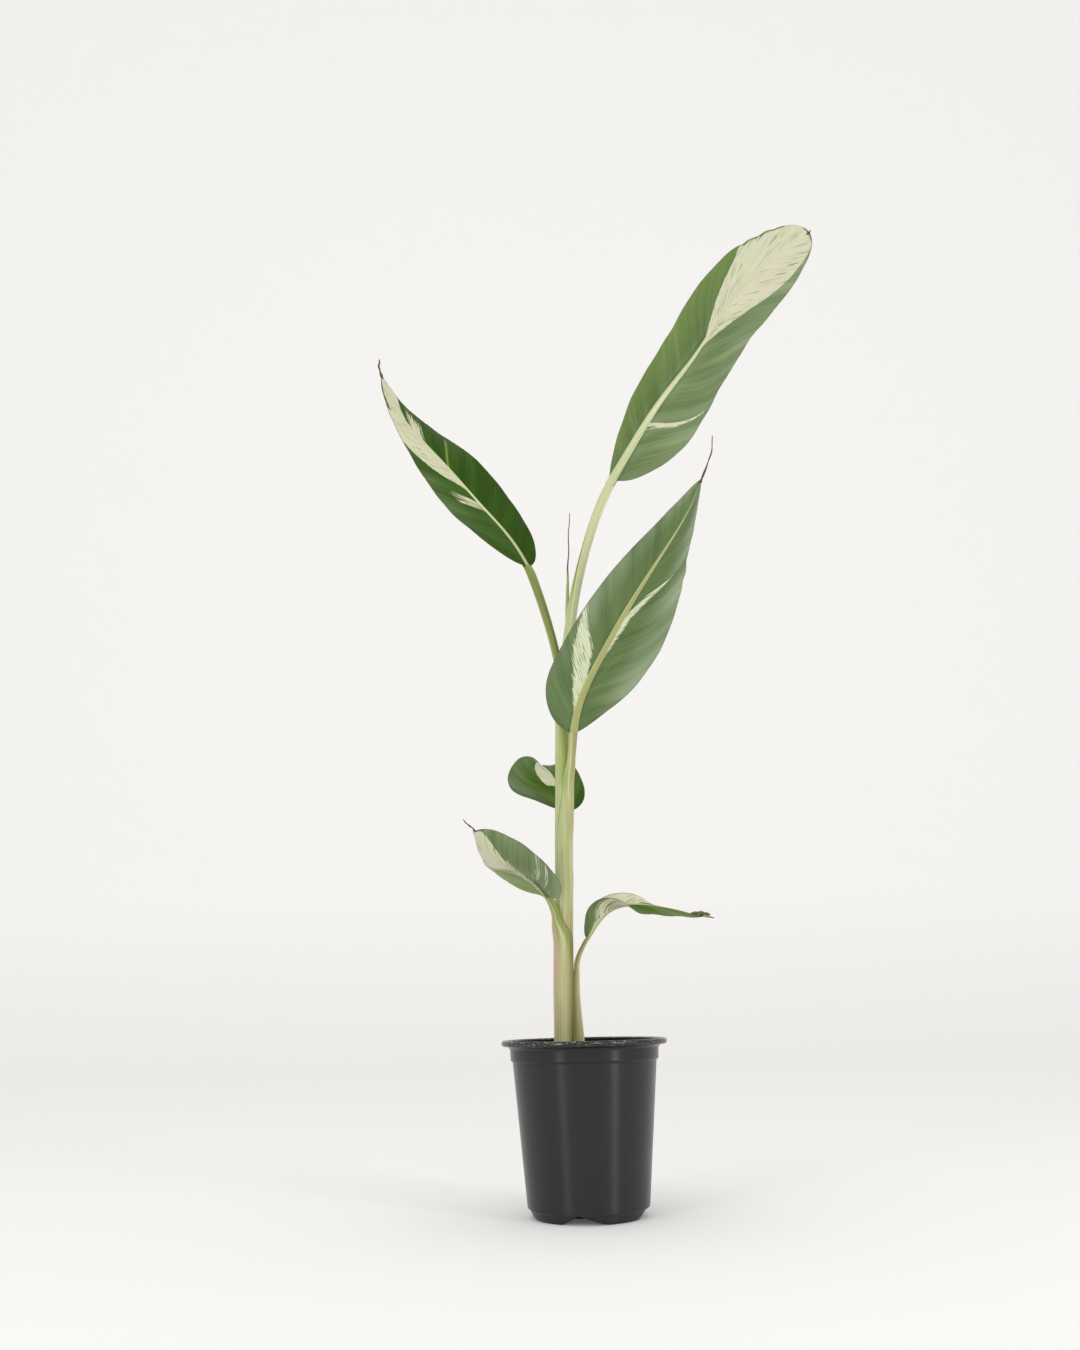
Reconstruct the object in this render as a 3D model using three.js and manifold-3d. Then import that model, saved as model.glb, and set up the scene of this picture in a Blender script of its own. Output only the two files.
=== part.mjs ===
// A young variegated banana plant, 0.95 m tall, in a round 15 cm nursery pot.
// Millimetres, +Z up. The origin is the middle of the pot's flat underside, +X is to the right of the
// plant's front and +Y goes away behind it. Each leaf is two pieces: a petiole, which on the older leaves
// runs down into the sheath that clasps the stem, and a blade that starts where the petiole ends.
// Angles are in degrees.
import * as THREE from "three";
import { mergeVertices } from "three/addons/utils/BufferGeometryUtils.js";
import Module from "manifold-3d";

const wasm = await Module();
wasm.setup();

// Gap between pieces that touch on the real plant.
const GAP = 0.3;

// Pot: thin black plastic with a rolled lip, a stacking ring and a foot cut by four drainage grooves.
const POT = {
  height: 149,
  lipRadius: 75.2,
  ringRadius: 66.8,
  ringHeight: 131.3,
  wallTopRadius: 65.2,
  wallFootRadius: 53.9,
  footStep: 7.8,
  footRadius: 49.6,
  wall: 1.6,
  floor: 9.6,
};
const GROOVE = { count: 4, width: 30, height: 7.2, inner: 15, outer: 60, firstHeading: -98 };
const SOIL = { top: 126, rise: 1.5, dip: 4 };

// Pseudostem: rolled sheaths, with a flat cut at the soil and a fork where the two youngest leaves part.
const STEM = { foot: SOIL.top + GAP, fork: 505, footRadius: 9.2, waistRadius: 8.7, forkRadius: 8.8 };
const STEM_FOOT_X = -18.8;
const STEM_FORK_X = -8.4;

// Leaves from the youngest down. A heading is the compass direction that a limb leans to, from +X towards
// +Y, and a lean is its angle from upright. Lists run from the foot of the piece to its tip.
// petiole: z and heading of its root, its lean there, how far each end runs straight, half width and depth.
// sheath: how far it clasps the stem, as half angle and thickness at its top and foot, down to a height.
// blade: start, length, lean and heading of the midrib; turn rolls the blade round the midrib; fold is how
// far each half rises from flat; left and right are the half widths on the two sides of the midrib.
const LEAVES = [
  {
    name: "1",
    petiole: { root: [-6.8, -0.5], z: 505, heading: -16, lean: 1, straight: [43, 59], half: [6, 5], depth: [7.6, 5.6] },
    blade: {
      start: [43, -15, 688],
      length: 337,
      lean: [33, 33, 41, 33, 52, 65],
      heading: -16,
      turn: [-81, -54, -70],
      left: { width: 38, peak: 0.69, fold: [14, 26, 15] },
      right: { width: 51, peak: 0.42, fold: [-21, 20, 2] },
      base: 2.5,
      tip: [2.7, 0.5],
      curl: 10,
    },
  },
  {
    name: "2",
    petiole: { root: [-13.4, 2.6], z: 505, heading: 157, lean: 9, straight: [40, 10], half: [4.4, 4.6], depth: [4.8, 5] },
    blade: {
      start: [-42, 13, 613],
      length: 316,
      lean: [26, 38, 37, 39, 34, 18],
      heading: 157,
      turn: [-27, -33, -11],
      left: { width: 44, peak: 0.22, fold: [9, -4, 7] },
      right: { width: 40, peak: 0.51, fold: [13, 14, 11] },
      base: 2.4,
      tip: [1.28, 0.74],
      curl: -10,
      mirrored: true,
    },
    filament: { length: 24, lean: [18, 15, 0], heading: [157, 150, 0] },
  },
  {
    name: "3",
    petiole: { z: 409, heading: -52, lean: 12, straight: [8, 8], half: [4.6, 4.4], depth: [3.4, 4.2] },
    sheath: { angle: [52, 112], thick: [2.2, 0.5], foot: 350 },
    blade: {
      start: [-1.8, -15.5, 431],
      length: 270,
      lean: [4, 41, 41, 46, 45, 30],
      heading: -43,
      turn: [-26, -25, -5],
      left: { width: 40, peak: 0.19, fold: [-8, 4, 11] },
      right: { width: 52, peak: 0.49, fold: [-40, 2, 30] },
      base: 1.9,
      tip: [1.7, 0.67],
      curl: 10,
    },
    filament: { length: 46, lean: [30, 26, -4], heading: [-41, -40, -40] },
  },
  {
    name: "4",
    petiole: { z: 340, heading: 82, lean: 6, straight: [8, 6], half: [4.2, 3.6], depth: [2.6, 3] },
    sheath: { angle: [58, 95], thick: [1.6, 0.5], foot: 272 },
    blade: {
      start: [-9.6, 15, 359.5],
      length: 113,
      lean: [54, 42, 62, 70],
      heading: 105,
      turn: [0, -17, 2],
      left: { width: 49, peak: 0.47, fold: [8, 10, 36] },
      right: { width: 26, peak: 0.36, fold: [7, 20, 13] },
      base: 2.5,
      tip: [1.74, 0.95],
      curl: 12,
      mirrored: true,
    },
  },
  {
    name: "5",
    petiole: { z: 238, heading: -128, lean: 6, straight: [14, 14], half: [4.6, 3.8], depth: [3.2, 3.4] },
    sheath: { angle: [56, 42], thick: [2, 0.5], foot: 188 },
    blade: {
      start: [-30.5, -12, 278],
      length: 110,
      lean: [50, 75, 63, 42],
      heading: -131,
      turn: [-2, -1, 0],
      left: { width: 35.5, peak: 0.21, fold: [-2, 3, 29] },
      right: { width: 41, peak: 0.33, fold: [-33, 1, 25] },
      base: 2.5,
      tip: [1.52, 0.5],
      curl: 10,
    },
    filament: { length: 16, lean: [42, 60, 30], heading: [-131, -150, -190] },
  },
  {
    name: "6",
    petiole: { z: 214, heading: -10, lean: 7, straight: [10, 9], half: [3.2, 2.6], depth: [3.4, 2.8] },
    sheath: { angle: [64, 96], thick: [5.6, 11.5], foot: STEM.foot },
    blade: {
      start: [5.5, -4, 239],
      length: 136,
      lean: [34, 44, 78, 95, 102, 106, 97],
      heading: 4,
      turn: [0, 0],
      left: { width: 19, peak: 0.4, fold: [35, 64, 22, -30, -38, -36, -28, 10] },
      right: { width: 15, peak: 0.35, fold: [40, 65, 60, 42, 8, -4, 0, 35] },
      base: 2.6,
      tip: [1.6, 0.8],
      curl: 6,
    },
  },
];

// The unopened next leaf: a thin rolled spear in the channel of petiole 1, drawn out to a dry thread.
const SPEAR = { start: [-4.2, -1.3, 531], length: 134, lean: [1, 2, 3, 3], radius: [1.8, 1.7, 1.2, 0.7, 0.5] };

const UP = new THREE.Vector3(0, 0, 1);
const radians = THREE.MathUtils.degToRad;

// Value at t, from 0 to 1, of a smooth curve through evenly spaced knots.
function along(knots, t) {
  if (!Array.isArray(knots)) return knots;
  const last = knots.length - 1;
  const x = Math.min(Math.max(t, 0), 1) * last;
  const i = Math.min(Math.floor(x), last - 1);
  const f = x - i;
  const [a, b, c, d] = [i - 1, i, i + 1, i + 2].map((k) => knots[Math.min(Math.max(k, 0), last)]);
  const slope = c - a;
  const bend = 2 * a - 5 * b + 4 * c - d;
  const twist = 3 * b - a - 3 * c + d;
  return 0.5 * (2 * b + slope * f + bend * f * f + twist * f * f * f);
}

// Unit vectors of a limb at a lean and heading: where it goes, and where its upper face looks.
function directions(lean, heading) {
  const out = new THREE.Vector3(Math.cos(radians(heading)), Math.sin(radians(heading)), 0);
  const s = Math.sin(radians(lean));
  const c = Math.cos(radians(lean));
  const forward = out.clone().multiplyScalar(s).addScaledVector(UP, c);
  const upper = out.clone().multiplyScalar(-c).addScaledVector(UP, s);
  return { forward, upper };
}

// Places along a limb of a given length, as position, forward and upper directions.
function limbPath(start, length, lean, heading, steps) {
  const position = new THREE.Vector3(...start);
  const places = [];
  for (let i = 0; i <= steps; i++) {
    const t = i / steps;
    places.push({ t, position: position.clone(), ...directions(along(lean, t), along(heading, t)) });
    const middle = t + 0.5 / steps;
    const step = directions(along(lean, middle), along(heading, middle)).forward;
    position.addScaledVector(step, length / steps);
  }
  return places;
}

// Closed solid through rings of equal point count. Each end is closed by a strip from one narrow end of
// the section to the other, which also suits a crescent; that narrow end has one point, or two on a blade.
function loft(rings, narrow = 1) {
  const count = rings[0].length;
  const points = rings.flat();
  const faces = [];
  for (let r = 0; r + 1 < rings.length; r++) {
    for (let k = 0; k < count; k++) {
      const a = r * count + k;
      const b = r * count + ((k + 1) % count);
      faces.push(a, b, b + count, a, b + count, a + count);
    }
  }
  for (const first of [0, (rings.length - 1) * count]) {
    for (let a = 0, b = count + 1 - narrow; a < b; a++, b--) {
      const far = b % count;
      for (const corners of [[a, a + 1, far], [a + 1, b - 1, far]]) {
        if (new Set(corners).size < 3) continue;
        const face = corners.map((k) => first + k);
        faces.push(...(first === 0 ? face.reverse() : face));
      }
    }
  }
  return closedGeometry(points, faces);
}

// Indexed geometry whose faces point outwards, whichever way the rings ran.
function closedGeometry(points, faces) {
  const volume = new THREE.Vector3();
  let total = 0;
  for (let i = 0; i < faces.length; i += 3) {
    const [a, b, c] = [points[faces[i]], points[faces[i + 1]], points[faces[i + 2]]];
    total += volume.copy(a).cross(b).dot(c);
  }
  if (total < 0) faces.reverse();
  const geometry = new THREE.BufferGeometry().setFromPoints(points);
  geometry.setIndex(faces);
  return geometry;
}

function toSolid(geometry) {
  const plain = geometry.clone();
  plain.deleteAttribute("normal");
  plain.deleteAttribute("uv");
  const merged = mergeVertices(plain, 1e-4);
  const vertProperties = merged.attributes.position.array;
  return new wasm.Manifold(new wasm.Mesh({ numProp: 3, vertProperties, triVerts: new Uint32Array(merged.index.array) }));
}

function toGeometry(solid) {
  const mesh = solid.getMesh();
  const geometry = new THREE.BufferGeometry();
  geometry.setAttribute("position", new THREE.BufferAttribute(mesh.vertProperties, 3));
  geometry.setIndex(new THREE.BufferAttribute(mesh.triVerts, 1));
  return geometry;
}

// Centre and radius of the pseudostem at a height.
function stemAt(z) {
  const t = (z - STEM.foot) / (STEM.fork - STEM.foot);
  const centre = new THREE.Vector3(STEM_FOOT_X + (STEM_FORK_X - STEM_FOOT_X) * t, 0, z);
  return { centre, radius: along([STEM.footRadius, STEM.waistRadius, STEM.waistRadius, STEM.forkRadius], t) };
}

function pseudostem() {
  const steps = 12;
  const sides = 20;
  const rings = [];
  for (let i = 0; i <= steps; i++) {
    const { centre, radius } = stemAt(STEM.foot + ((STEM.fork - STEM.foot) * i) / steps);
    rings.push(
      Array.from({ length: sides }, (_, k) => {
        const angle = (2 * Math.PI * k) / sides;
        return centre.clone().add(new THREE.Vector3(radius * Math.cos(angle), radius * Math.sin(angle), 0));
      }),
    );
  }
  return loft(rings);
}

// Petiole and sheath sections have this many points on the outer side and on the inner side.
const OUTER = 9;
const INNER = 7;
// Shares of a petiole's depth: how far the edges of its channel rise, how deep the channel is, and how deep
// it is at the fork, where the next leaf stands in it.
const WING = 0.42;
const CHANNEL = 0.45;
const FORK_CHANNEL = 0.87;
// A sheath's margins are this thick. Its top, this far below the petiole's root, is where it starts to close
// to the petiole's section.
const SHEATH_EDGE = 0.4;
const SHEATH_SHOULDER = 12;

// Section of a petiole: rounded below, and hollowed to a channel on its upper face.
function petioleSection({ position, forward, upper }, half, depth, channel) {
  const side = new THREE.Vector3().crossVectors(forward, upper);
  const at = (u, v) => position.clone().addScaledVector(side, u * half).addScaledVector(upper, v * depth);
  const ring = [];
  for (let k = 0; k < OUTER; k++) {
    const u = -Math.cos((Math.PI * k) / (OUTER - 1));
    ring.push(at(u, -Math.sqrt(1 - u * u)));
  }
  for (let k = 1; k <= INNER; k++) {
    const u = 1 - (2 * k) / (INNER + 1);
    ring.push(at(u, WING - channel * (1 - u * u) ** 2));
  }
  return ring;
}

// Section of a sheath that clasps the stem at a height, as angle, radius and height of each point.
function sheathSection(z, heading, halfAngle, thick) {
  const { radius } = stemAt(z);
  const step = (2 * halfAngle) / (OUTER - 1);
  // Pushed out so that the straight chords between points, and across to the next section, keep the gap.
  const inner = (radius + GAP) / Math.cos(radians(1.15 * step));
  const ring = [];
  for (let k = 0; k < OUTER; k++) {
    const u = (2 * k) / (OUTER - 1) - 1;
    const body = SHEATH_EDGE + (thick - SHEATH_EDGE) * Math.cos((Math.PI / 2) * u) ** 0.7;
    ring.push({ angle: -u * halfAngle, radius: inner + body, z });
  }
  for (let k = 1; k <= INNER; k++) {
    ring.push({ angle: -(1 - (2 * k) / (INNER + 1)) * halfAngle, radius: inner, z });
  }
  return ring.map((p) => ({ ...p, angle: p.angle + heading }));
}

function polarToPoint({ angle, radius, z }) {
  const offset = new THREE.Vector3(Math.cos(radians(angle)), Math.sin(radians(angle)), 0);
  return stemAt(z).centre.addScaledVector(offset, radius);
}

function pointToPolar(point, heading) {
  const offset = point.clone().sub(stemAt(point.z).centre);
  const turnFrom = THREE.MathUtils.radToDeg(Math.atan2(offset.y, offset.x)) - heading;
  const angle = heading + (THREE.MathUtils.euclideanModulo(turnFrom + 180, 360) - 180);
  return { angle, radius: Math.hypot(offset.x, offset.y), z: point.z };
}

// Places along a petiole, from its root on the stem to a gap short of the blade.
function petiolePath({ petiole, blade }, steps) {
  const end = bladePlaces(blade, 1)[0];
  const towards = directions(0, petiole.heading);
  const out = towards.upper.clone().negate();
  let root;
  if (petiole.root) {
    root = new THREE.Vector3(...petiole.root, petiole.z + GAP);
  } else {
    const { centre, radius } = stemAt(petiole.z);
    root = centre.addScaledVector(out, radius + 3 * GAP + WING * petiole.depth[0]);
  }
  const leaving = directions(petiole.lean, petiole.heading).forward;
  const stop = end.position.clone().addScaledVector(end.forward, -GAP);
  const curve = new THREE.CubicBezierCurve3(
    root,
    root.clone().addScaledVector(leaving, petiole.straight[0]),
    stop.clone().addScaledVector(end.forward, -petiole.straight[1]),
    stop,
  );
  const places = [];
  for (let i = 0; i <= steps; i++) {
    const t = i / steps;
    const forward = i === 0 ? UP.clone() : curve.getTangent(t);
    const upper = towards.upper.clone().lerp(end.upper, t * t * (3 - 2 * t));
    upper.addScaledVector(forward, -upper.dot(forward)).normalize();
    places.push({ t, position: curve.getPoint(t), forward, upper });
  }
  return places;
}

function petiole(leaf) {
  const { petiole: limb, sheath } = leaf;
  const channel = [limb.root ? FORK_CHANNEL : CHANNEL, CHANNEL];
  const free = petiolePath(leaf, 8).map((place) => {
    const [half, depth, deep] = [limb.half, limb.depth, channel].map((knots) => along(knots, place.t));
    return petioleSection(place, half, depth, deep);
  });
  if (!sheath) return loft(free);
  const top = limb.z - SHEATH_SHOULDER;
  const steps = Math.max(2, Math.round((top - sheath.foot) / 25));
  const rings = [];
  for (let i = 0; i <= steps; i++) {
    const t = 1 - i / steps;
    const z = top + (sheath.foot - top) * t;
    rings.push(sheathSection(z, limb.heading, along(sheath.angle, t), along(sheath.thick, t)));
  }
  const from = rings.at(-1);
  const to = free[0].map((p) => pointToPolar(p, limb.heading));
  const blend = (t) =>
    from.map((p, k) => ({
      angle: p.angle + (to[k].angle - p.angle) * t,
      radius: p.radius + (to[k].radius - p.radius) * t,
      z: p.z + (to[k].z - p.z) * t,
    }));
  rings.push(blend(1 / 3), blend(2 / 3));
  return loft([...rings.map((ring) => ring.map(polarToPoint)), ...free]);
}

// Share of a half blade's full width at t along it: a rounded base, and a tip drawn to a point.
function outlineShare(t, peak, base, [tipPower, tipRoot]) {
  if (t < peak) return Math.sqrt(1 - ((peak - t) / peak) ** base);
  return (1 - ((t - peak) / (1 - peak)) ** tipPower) ** tipRoot;
}

function bladePlaces(blade, steps) {
  return limbPath(blade.start, blade.length, blade.lean, blade.heading, steps).map((place) => {
    const angle = radians(along(blade.turn, place.t));
    const side = new THREE.Vector3().crossVectors(place.forward, place.upper);
    const upper = place.upper.clone().multiplyScalar(Math.cos(angle)).addScaledVector(side, Math.sin(angle));
    return { ...place, upper };
  });
}

// Section of a blade: upper face from the left margin to the right one, then back along the underside,
// where the midrib stands proud.
function bladeSection({ position, forward, upper }, halves, thick, rib) {
  const side = new THREE.Vector3().crossVectors(forward, upper);
  const line = [];
  for (const { sign, width, fold, curl } of halves) {
    const ribShare = Math.min(0.5, rib.half / width);
    const shares = [1, ribShare + (1 - ribShare) * 0.5, ribShare];
    const half = shares.map((x) => {
      const bend = radians(curl) || 1e-6;
      const start = radians(fold);
      const angle = start + bend * x;
      const out = (width / bend) * (Math.sin(angle) - Math.sin(start));
      const rise = (width / bend) * (Math.cos(start) - Math.cos(angle));
      const across = side.clone().multiplyScalar(sign);
      const point = position.clone().addScaledVector(across, out).addScaledVector(upper, rise);
      const normal = upper.clone().multiplyScalar(Math.cos(angle)).addScaledVector(across, -Math.sin(angle));
      return { point, normal, proud: 0 };
    });
    line.push(half);
  }
  const middle = { point: position, normal: upper, proud: rib.depth };
  const across = [...line[0], middle, ...line[1].reverse()];
  const top = across.map((p) => p.point.clone().addScaledVector(p.normal, thick / 2));
  const bottom = across.map((p) => p.point.clone().addScaledVector(p.normal, -thick / 2 - p.proud));
  return [...top, ...bottom.reverse()];
}

// Half width and thickness of the dry thread that some tips are drawn out to.
const THREAD = { half: 0.7, thick: 1.1 };
const TIP_HALF = 0.8;

// A blade with its midrib, and with its thread if it has one. It is a hundredth of its length thick.
function bladeSolid({ blade, petiole: limb, filament }) {
  const steps = Math.round(13 + blade.length / 60);
  const thick = Math.max(THREAD.thick, blade.length / 100);
  const [halfStart, ribStart] = [limb.half[1], limb.depth[1]];
  const places = bladePlaces(blade, steps);
  const rings = places.map((place) => {
    const { t } = place;
    const least = halfStart + (TIP_HALF - halfStart) * t;
    const halves = ["left", "right"].map((name) => {
      const half = blade[name];
      const width = Math.max(least, half.width * outlineShare(t, half.peak, blade.base, blade.tip));
      const sign = (name === "left") === !blade.mirrored ? 1 : -1;
      return { sign, width, fold: along(half.fold, t), curl: blade.curl };
    });
    const rib = { half: Math.max(0.5, 0.6 * halfStart * (1 - t)), depth: ribStart * 0.8 * (1 - t) ** 1.2 };
    return bladeSection(place, halves, t === 1 && filament ? THREAD.thick : thick, rib);
  });
  if (filament) {
    const last = places.at(-1);
    const thread = limbPath(last.position.toArray(), filament.length, filament.lean, filament.heading, 5);
    for (const place of thread.slice(1)) {
      const signs = blade.mirrored ? [-1, 1] : [1, -1];
      const halves = signs.map((sign) => ({ sign, width: THREAD.half, fold: 0, curl: 0 }));
      rings.push(bladeSection(place, halves, THREAD.thick, { half: THREAD.half / 2, depth: 0 }));
    }
  }
  return loft(rings, 2);
}

function spear() {
  const sides = 8;
  const rings = limbPath(SPEAR.start, SPEAR.length, SPEAR.lean, 0, 9).map(({ t, position, forward, upper }) => {
    const side = new THREE.Vector3().crossVectors(forward, upper);
    const radius = along(SPEAR.radius, t);
    return Array.from({ length: sides }, (_, k) => {
      const angle = (2 * Math.PI * k) / sides;
      const point = position.clone().addScaledVector(side, radius * Math.cos(angle));
      return point.addScaledVector(upper, radius * Math.sin(angle));
    });
  });
  return loft(rings);
}

// Solid of revolution about the pot's axis.
function turned(profile, segments) {
  const geometry = new THREE.LatheGeometry(profile.map(([r, z]) => new THREE.Vector2(r, z)), segments);
  return geometry.rotateX(Math.PI / 2);
}

// Radius of the pot's inner face at a height.
function insideRadius(z) {
  const t = (z - POT.footStep) / (POT.ringHeight - POT.footStep);
  return POT.wallFootRadius + (POT.wallTopRadius - POT.wallFootRadius) * t - POT.wall;
}

function pot() {
  const { height, lipRadius, ringRadius, ringHeight, wallTopRadius, wallFootRadius, footStep, footRadius } = POT;
  const outside = [
    [0, 0],
    [footRadius - 1.2, 0],
    [footRadius, 1.4],
    [wallFootRadius - 1.6, footStep - 0.4],
    [wallFootRadius, footStep],
    [wallTopRadius, ringHeight - 0.6],
    [ringRadius, ringHeight],
    [ringRadius + 0.3, ringHeight + 1.2],
    [lipRadius - 7.8, height - 7.4],
    [lipRadius - 5.4, height - 5.6],
    [lipRadius - 0.9, height - 5],
    [lipRadius, height - 3.4],
    [lipRadius - 0.2, height - 1],
    [lipRadius - 1.4, height],
  ];
  const inside = [
    [lipRadius - 4, height],
    [lipRadius - 6, height - 2.2],
    [lipRadius - 9.6, height - 7.4],
    [ringRadius - 1.4, ringHeight + 1.2],
    [insideRadius(ringHeight) - 0.2, ringHeight - 1],
    [insideRadius(POT.floor + 1.4), POT.floor + 1.4],
    [insideRadius(POT.floor) - 1.4, POT.floor],
    [0, POT.floor],
  ];
  let solid = toSolid(turned([...outside, ...inside], 48));
  for (let k = 0; k < GROOVE.count; k++) {
    const { width, height: rise, inner, outer, firstHeading } = GROOVE;
    // An arch in section, run out from near the middle of the floor and through the foot.
    const arch = new THREE.Shape();
    arch.moveTo(-width / 2, -2);
    arch.lineTo(-width / 2, 0);
    arch.bezierCurveTo(-width / 3, rise, -width / 6, rise, 0, rise);
    arch.bezierCurveTo(width / 6, rise, width / 3, rise, width / 2, 0);
    arch.lineTo(width / 2, -2);
    arch.closePath();
    const groove = new THREE.ExtrudeGeometry(arch, { depth: outer - inner, bevelEnabled: false, curveSegments: 4 });
    groove.rotateX(Math.PI / 2).rotateZ(Math.PI / 2).translate(inner, 0, 0);
    groove.rotateZ(radians(firstHeading + (360 * k) / GROOVE.count));
    solid = solid.subtract(toSolid(groove));
  }
  return toGeometry(solid);
}

function pottingSoil() {
  const { top, rise, dip } = SOIL;
  const bottom = POT.floor + GAP;
  return turned(
    [
      [0, bottom],
      [insideRadius(bottom) - 2.2, bottom],
      [insideRadius(bottom + 2) - GAP, bottom + 2],
      [insideRadius(top - dip) - GAP, top - dip],
      [insideRadius(top) - 6, top - 1],
      [50, top + rise],
      [36, top],
      [0, top],
    ],
    48,
  );
}

const plant = new THREE.Group();

function addPiece(name, geometry, color, roughness) {
  const material = new THREE.MeshStandardMaterial({ color, roughness, metalness: 0 });
  const mesh = new THREE.Mesh(geometry, material);
  mesh.name = name;
  plant.add(mesh);
}

addPiece("pot", pot(), "#2f2e2e", 0.45);
addPiece("potting_soil", pottingSoil(), "#3b2c21", 1);
addPiece("pseudostem", pseudostem(), "#b3b883", 0.5);
for (const leaf of LEAVES) {
  addPiece(`petiole_${leaf.name}`, petiole(leaf), "#b2bf7a", 0.45);
  addPiece(`leaf_${leaf.name}`, bladeSolid(leaf), "#4e7440", 0.5);
}
addPiece("new_leaf", spear(), "#8fa35a", 0.6);

export default plant;
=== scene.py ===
import math
import random

import bmesh
import bpy
import numpy as np
from mathutils import Matrix, Vector, noise


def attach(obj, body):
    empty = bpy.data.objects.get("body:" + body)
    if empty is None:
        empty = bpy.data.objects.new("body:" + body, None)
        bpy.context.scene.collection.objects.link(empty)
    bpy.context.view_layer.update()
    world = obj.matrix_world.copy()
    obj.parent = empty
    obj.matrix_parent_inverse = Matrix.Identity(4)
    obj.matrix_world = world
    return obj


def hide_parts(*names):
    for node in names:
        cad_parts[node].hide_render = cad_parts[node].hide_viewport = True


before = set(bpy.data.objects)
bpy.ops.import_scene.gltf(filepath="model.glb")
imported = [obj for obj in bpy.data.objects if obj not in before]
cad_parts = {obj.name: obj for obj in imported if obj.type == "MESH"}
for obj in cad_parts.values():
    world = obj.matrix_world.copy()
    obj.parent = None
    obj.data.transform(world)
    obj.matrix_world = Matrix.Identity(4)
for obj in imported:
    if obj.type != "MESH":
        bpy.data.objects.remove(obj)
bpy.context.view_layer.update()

# Camera
# The photograph is taken from 1.1 m in front of the plant and a little above the pot's rim, looking up at
# the leaves, with the camera rolled by just over a degree.
PHOTO_SIZE = (1080, 1350)
FOCAL_PIXELS = 1200
SENSOR_WIDTH = 36
CAMERA_PLACE = Vector((-0.03249, -1.14168, 0.17763))
CAMERA_PITCH = math.radians(15.47)
CAMERA_ROLL = math.radians(1.29)

forward = Vector((0, math.cos(CAMERA_PITCH), math.sin(CAMERA_PITCH)))
level_up = Vector((0, -math.sin(CAMERA_PITCH), math.cos(CAMERA_PITCH)))
camera_right = Vector((1, 0, 0)) * math.cos(CAMERA_ROLL) - level_up * math.sin(CAMERA_ROLL)
camera_up = Vector((1, 0, 0)) * math.sin(CAMERA_ROLL) + level_up * math.cos(CAMERA_ROLL)
camera_turn = Matrix((camera_right, camera_up, -forward)).transposed().to_4x4()
camera = bpy.data.objects.new("camera", bpy.data.cameras.new("camera"))
camera.matrix_world = Matrix.Translation(CAMERA_PLACE) @ camera_turn
camera.data.sensor_width = SENSOR_WIDTH
camera.data.lens = SENSOR_WIDTH * FOCAL_PIXELS / max(PHOTO_SIZE)
bpy.context.scene.collection.objects.link(camera)
bpy.context.scene.camera = camera

# Floor and light
# A sheet of white paper that curves up behind the plant, in a white room, with a tall narrow soft box on
# either side of the camera and a broad one overhead. Sizes and places here are in metres.
FLOOR_WIDTH = 12.0
SWEEP_FRONT = -4.0
SWEEP_BEND_AT = 2.6
SWEEP_BEND_RADIUS = 1.4
SWEEP_BEND_STEPS = 12
SWEEP_TOP = 7.5
PAPER_SHADOW_BLOTCH = 15


def colour(code):
    """Linear colour, with alpha, of an sRGB hex code."""
    parts = [int(code[i : i + 2], 16) / 255 for i in (1, 3, 5)]
    return tuple(c / 12.92 if c <= 0.04045 else ((c + 0.055) / 1.055) ** 2.4 for c in parts) + (1.0,)


def fill_inputs(tree, node, inputs):
    """Fills a node's inputs with numbers, with colours given as hex codes, or with links from other nodes."""
    for name, value in inputs.items():
        if isinstance(value, str):
            value = colour(value)
        if isinstance(value, bpy.types.Node):
            value = next(socket for socket in value.outputs if socket.enabled)
        if isinstance(value, bpy.types.NodeSocket):
            tree.links.new(value, node.inputs[name])
        else:
            node.inputs[name].default_value = value
    return node


def add_node(tree, kind, inputs=None, **settings):
    """Adds a node, sets its properties and fills its inputs."""
    node = tree.nodes.new(kind)
    for name, value in settings.items():
        setattr(node, name, value)
    return fill_inputs(tree, node, inputs or {})


def new_material(name, **shader):
    """A material with a Principled shader; sockets are given by name, with _ for a space."""
    material = bpy.data.materials.new(name)
    material.use_nodes = True
    tree = material.node_tree
    principled = tree.nodes["Principled BSDF"]
    fill_inputs(tree, principled, {socket.replace("_", " "): value for socket, value in shader.items()})
    return material, tree, principled


def new_mesh_object(name, points, faces, materials, face_materials=None, fields=None, sharp_over=50):
    """A smooth mesh from points in mm, with named fields on them, and sharp over so many degrees of bend."""
    mesh = bpy.data.meshes.new(name)
    mesh.from_pydata(np.asarray(points) / 1000, [], faces)
    for material in materials:
        mesh.materials.append(material)
    if face_materials is not None:
        mesh.polygons.foreach_set("material_index", np.asarray(face_materials, dtype=np.int32))
    for field, values in (fields or {}).items():
        values = np.asarray(values, dtype=np.float32).reshape(len(points), -1)
        kind, part = ("FLOAT_VECTOR", "vector") if values.shape[1] == 3 else ("FLOAT", "value")
        mesh.attributes.new(field, kind, "POINT").data.foreach_set(part, values.ravel())
    mesh.shade_smooth()
    mesh.set_sharp_from_angle(angle=math.radians(sharp_over))
    made = bpy.data.objects.new(name, mesh)
    bpy.context.scene.collection.objects.link(made)
    return made
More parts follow.
